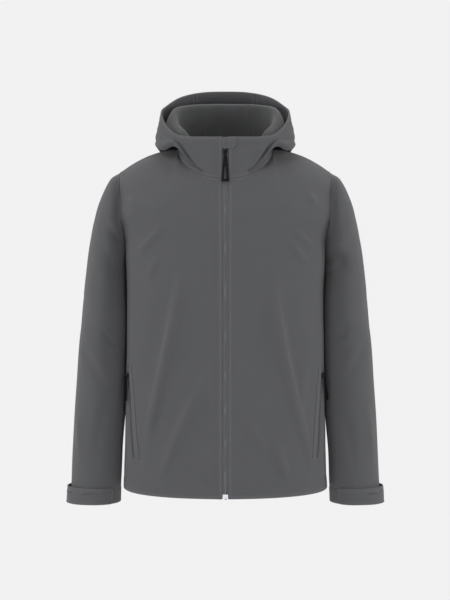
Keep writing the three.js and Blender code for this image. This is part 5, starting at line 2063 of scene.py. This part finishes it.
class Studio:
    """A pale floor and soft lights, with the camera level with the middle of the jacket."""

    FLOOR_Z = -1.25
    FLOOR_SIZE = 3.0
    CAMERA_DISTANCE = 2.3
    CAMERA_HEIGHT = -0.311
    FRAME_HEIGHT = 1.26
    SENSOR = 36.0
    PAPER = 0.885
    SURROUNDINGS = 0.4

    def floor(self) -> None:
        """Lays the lit floor, as pale as the surroundings."""
        mesh = bmesh.new()
        bmesh.ops.create_grid(mesh, x_segments=1, y_segments=1, size=self.FLOOR_SIZE / 2)
        bmesh.ops.translate(mesh, verts=mesh.verts[:], vec=(0, 0, self.FLOOR_Z))
        data = bpy.data.meshes.new("floor")
        mesh.to_mesh(data)
        mesh.free()
        bench = NodeBench("pale_floor")
        bench.settle(Base_Color=(0, 0, 0, 1), Specular_IOR_Level=0.0)
        bench.settle(Emission_Color=(1, 1, 1, 1), Emission_Strength=self.PAPER)
        data.materials.append(bench.material)
        floor = bpy.data.objects.new("floor", data)
        bpy.context.scene.collection.objects.link(floor)

    def light(
        self, name: str, place: Sequence[float], aim: Sequence[float], size: float, power: float
    ) -> None:
        """Sets up one soft box."""
        data = bpy.data.lights.new(name, "AREA")
        data.shape, data.size, data.energy = "SQUARE", size, power
        lamp = bpy.data.objects.new(name, data)
        lamp.location = place
        lamp.rotation_euler = (Vector(aim) - Vector(place)).to_track_quat("-Z", "Y").to_euler()
        bpy.context.scene.collection.objects.link(lamp)

    def lights(self) -> None:
        """Sets up the surrounding light and the soft boxes."""
        world = bpy.data.worlds.new("surroundings")
        world.use_nodes = True
        nodes, links = world.node_tree.nodes, world.node_tree.links
        nodes.clear()
        path = nodes.new("ShaderNodeLightPath")
        either = nodes.new("ShaderNodeMixShader")
        output = nodes.new("ShaderNodeOutputWorld")
        links.new(path.outputs["Is Camera Ray"], either.inputs[0])
        for slot, strength in ((1, self.SURROUNDINGS), (2, self.PAPER)):
            sky = nodes.new("ShaderNodeBackground")
            sky.inputs["Color"].default_value = (1, 1, 1, 1)
            sky.inputs["Strength"].default_value = strength
            links.new(sky.outputs[0], either.inputs[slot])
        links.new(either.outputs[0], output.inputs["Surface"])
        bpy.context.scene.world = world
        self.light("key", (-1.5, -1.9, 1.7), (0, 0, -0.35), 0.9, 21)
        self.light("cross", (1.2, -2.3, 0.5), (0, 0, -0.4), 1.0, 12)
        self.light("low", (-0.3, -2.2, -1.05), (0, 0, -0.1), 1.0, 6)
        self.light("left", (-2.3, -0.7, 0.1), (0, 0, -0.35), 1.0, 20)
        self.light("right", (2.3, -0.7, 0.1), (0, 0, -0.35), 1.0, 22)
        self.light("behind", (0.4, 2.5, 0.5), (0, 0, -0.35), 1.2, 18)
        self.light("top", (0.0, 0.3, 2.2), (0, 0, -0.2), 1.2, 11)

    def camera(self) -> None:
        """Sets up the camera."""
        data = bpy.data.cameras.new("camera")
        data.sensor_width = self.SENSOR
        data.lens = self.SENSOR * self.CAMERA_DISTANCE / self.FRAME_HEIGHT
        data.clip_start, data.clip_end = 0.1, 100
        camera = bpy.data.objects.new("camera", data)
        camera.location = (-0.0006, -self.CAMERA_DISTANCE, self.CAMERA_HEIGHT)
        camera.rotation_euler = (math.pi / 2, 0, 0)
        bpy.context.scene.collection.objects.link(camera)
        bpy.context.scene.camera = camera

    def set_up(self) -> None:
        """Sets up the whole studio."""
        bpy.context.scene.view_settings.view_transform = "Standard"
        self.floor()
        self.lights()
        self.camera()


def main() -> None:
    """Builds the jacket and its studio."""
    logging.basicConfig(level=logging.INFO, format="%(message)s")
    room, book = Workroom(), StitchBook()
    Studio().set_up()
    fronts = {name: FrontPanel(f"front_{name}", side, book) for name, side in SIDES}
    sleeves = {name: Sleeve(f"sleeve_{name}", side, book) for name, side in SIDES}
    hoods = {name: HoodPanel(f"hood_{name}", side, book) for name, side in SIDES}
    rest = (BackPanel(book), HoodPanel("hood_centre", 0, book))
    for panel in (*fronts.values(), *sleeves.values(), *hoods.values(), *rest):
        panel.piece().make(room)
    FrontZip(fronts, hoods).make(room)
    ChinGuard(hoods["left"], book).make(room)
    for name, side in SIDES:
        CuffTab(name, side, sleeves[name], book).make(room)
        Pocket(name, side, fronts[name], book).make(room)
        Pull(f"pocket_slider_{name}", f"pocket_puller_{name}", POCKET_PULL).make(room)
    Pull("zip_slider", "zip_puller", MAIN_PULL).make(room)
    EndBox().make(room)
    for part in book.lines:
        room.put(f"stitches_{part}", book.mesh(part), (THREAD,))


if __name__ == "__main__":
    main()
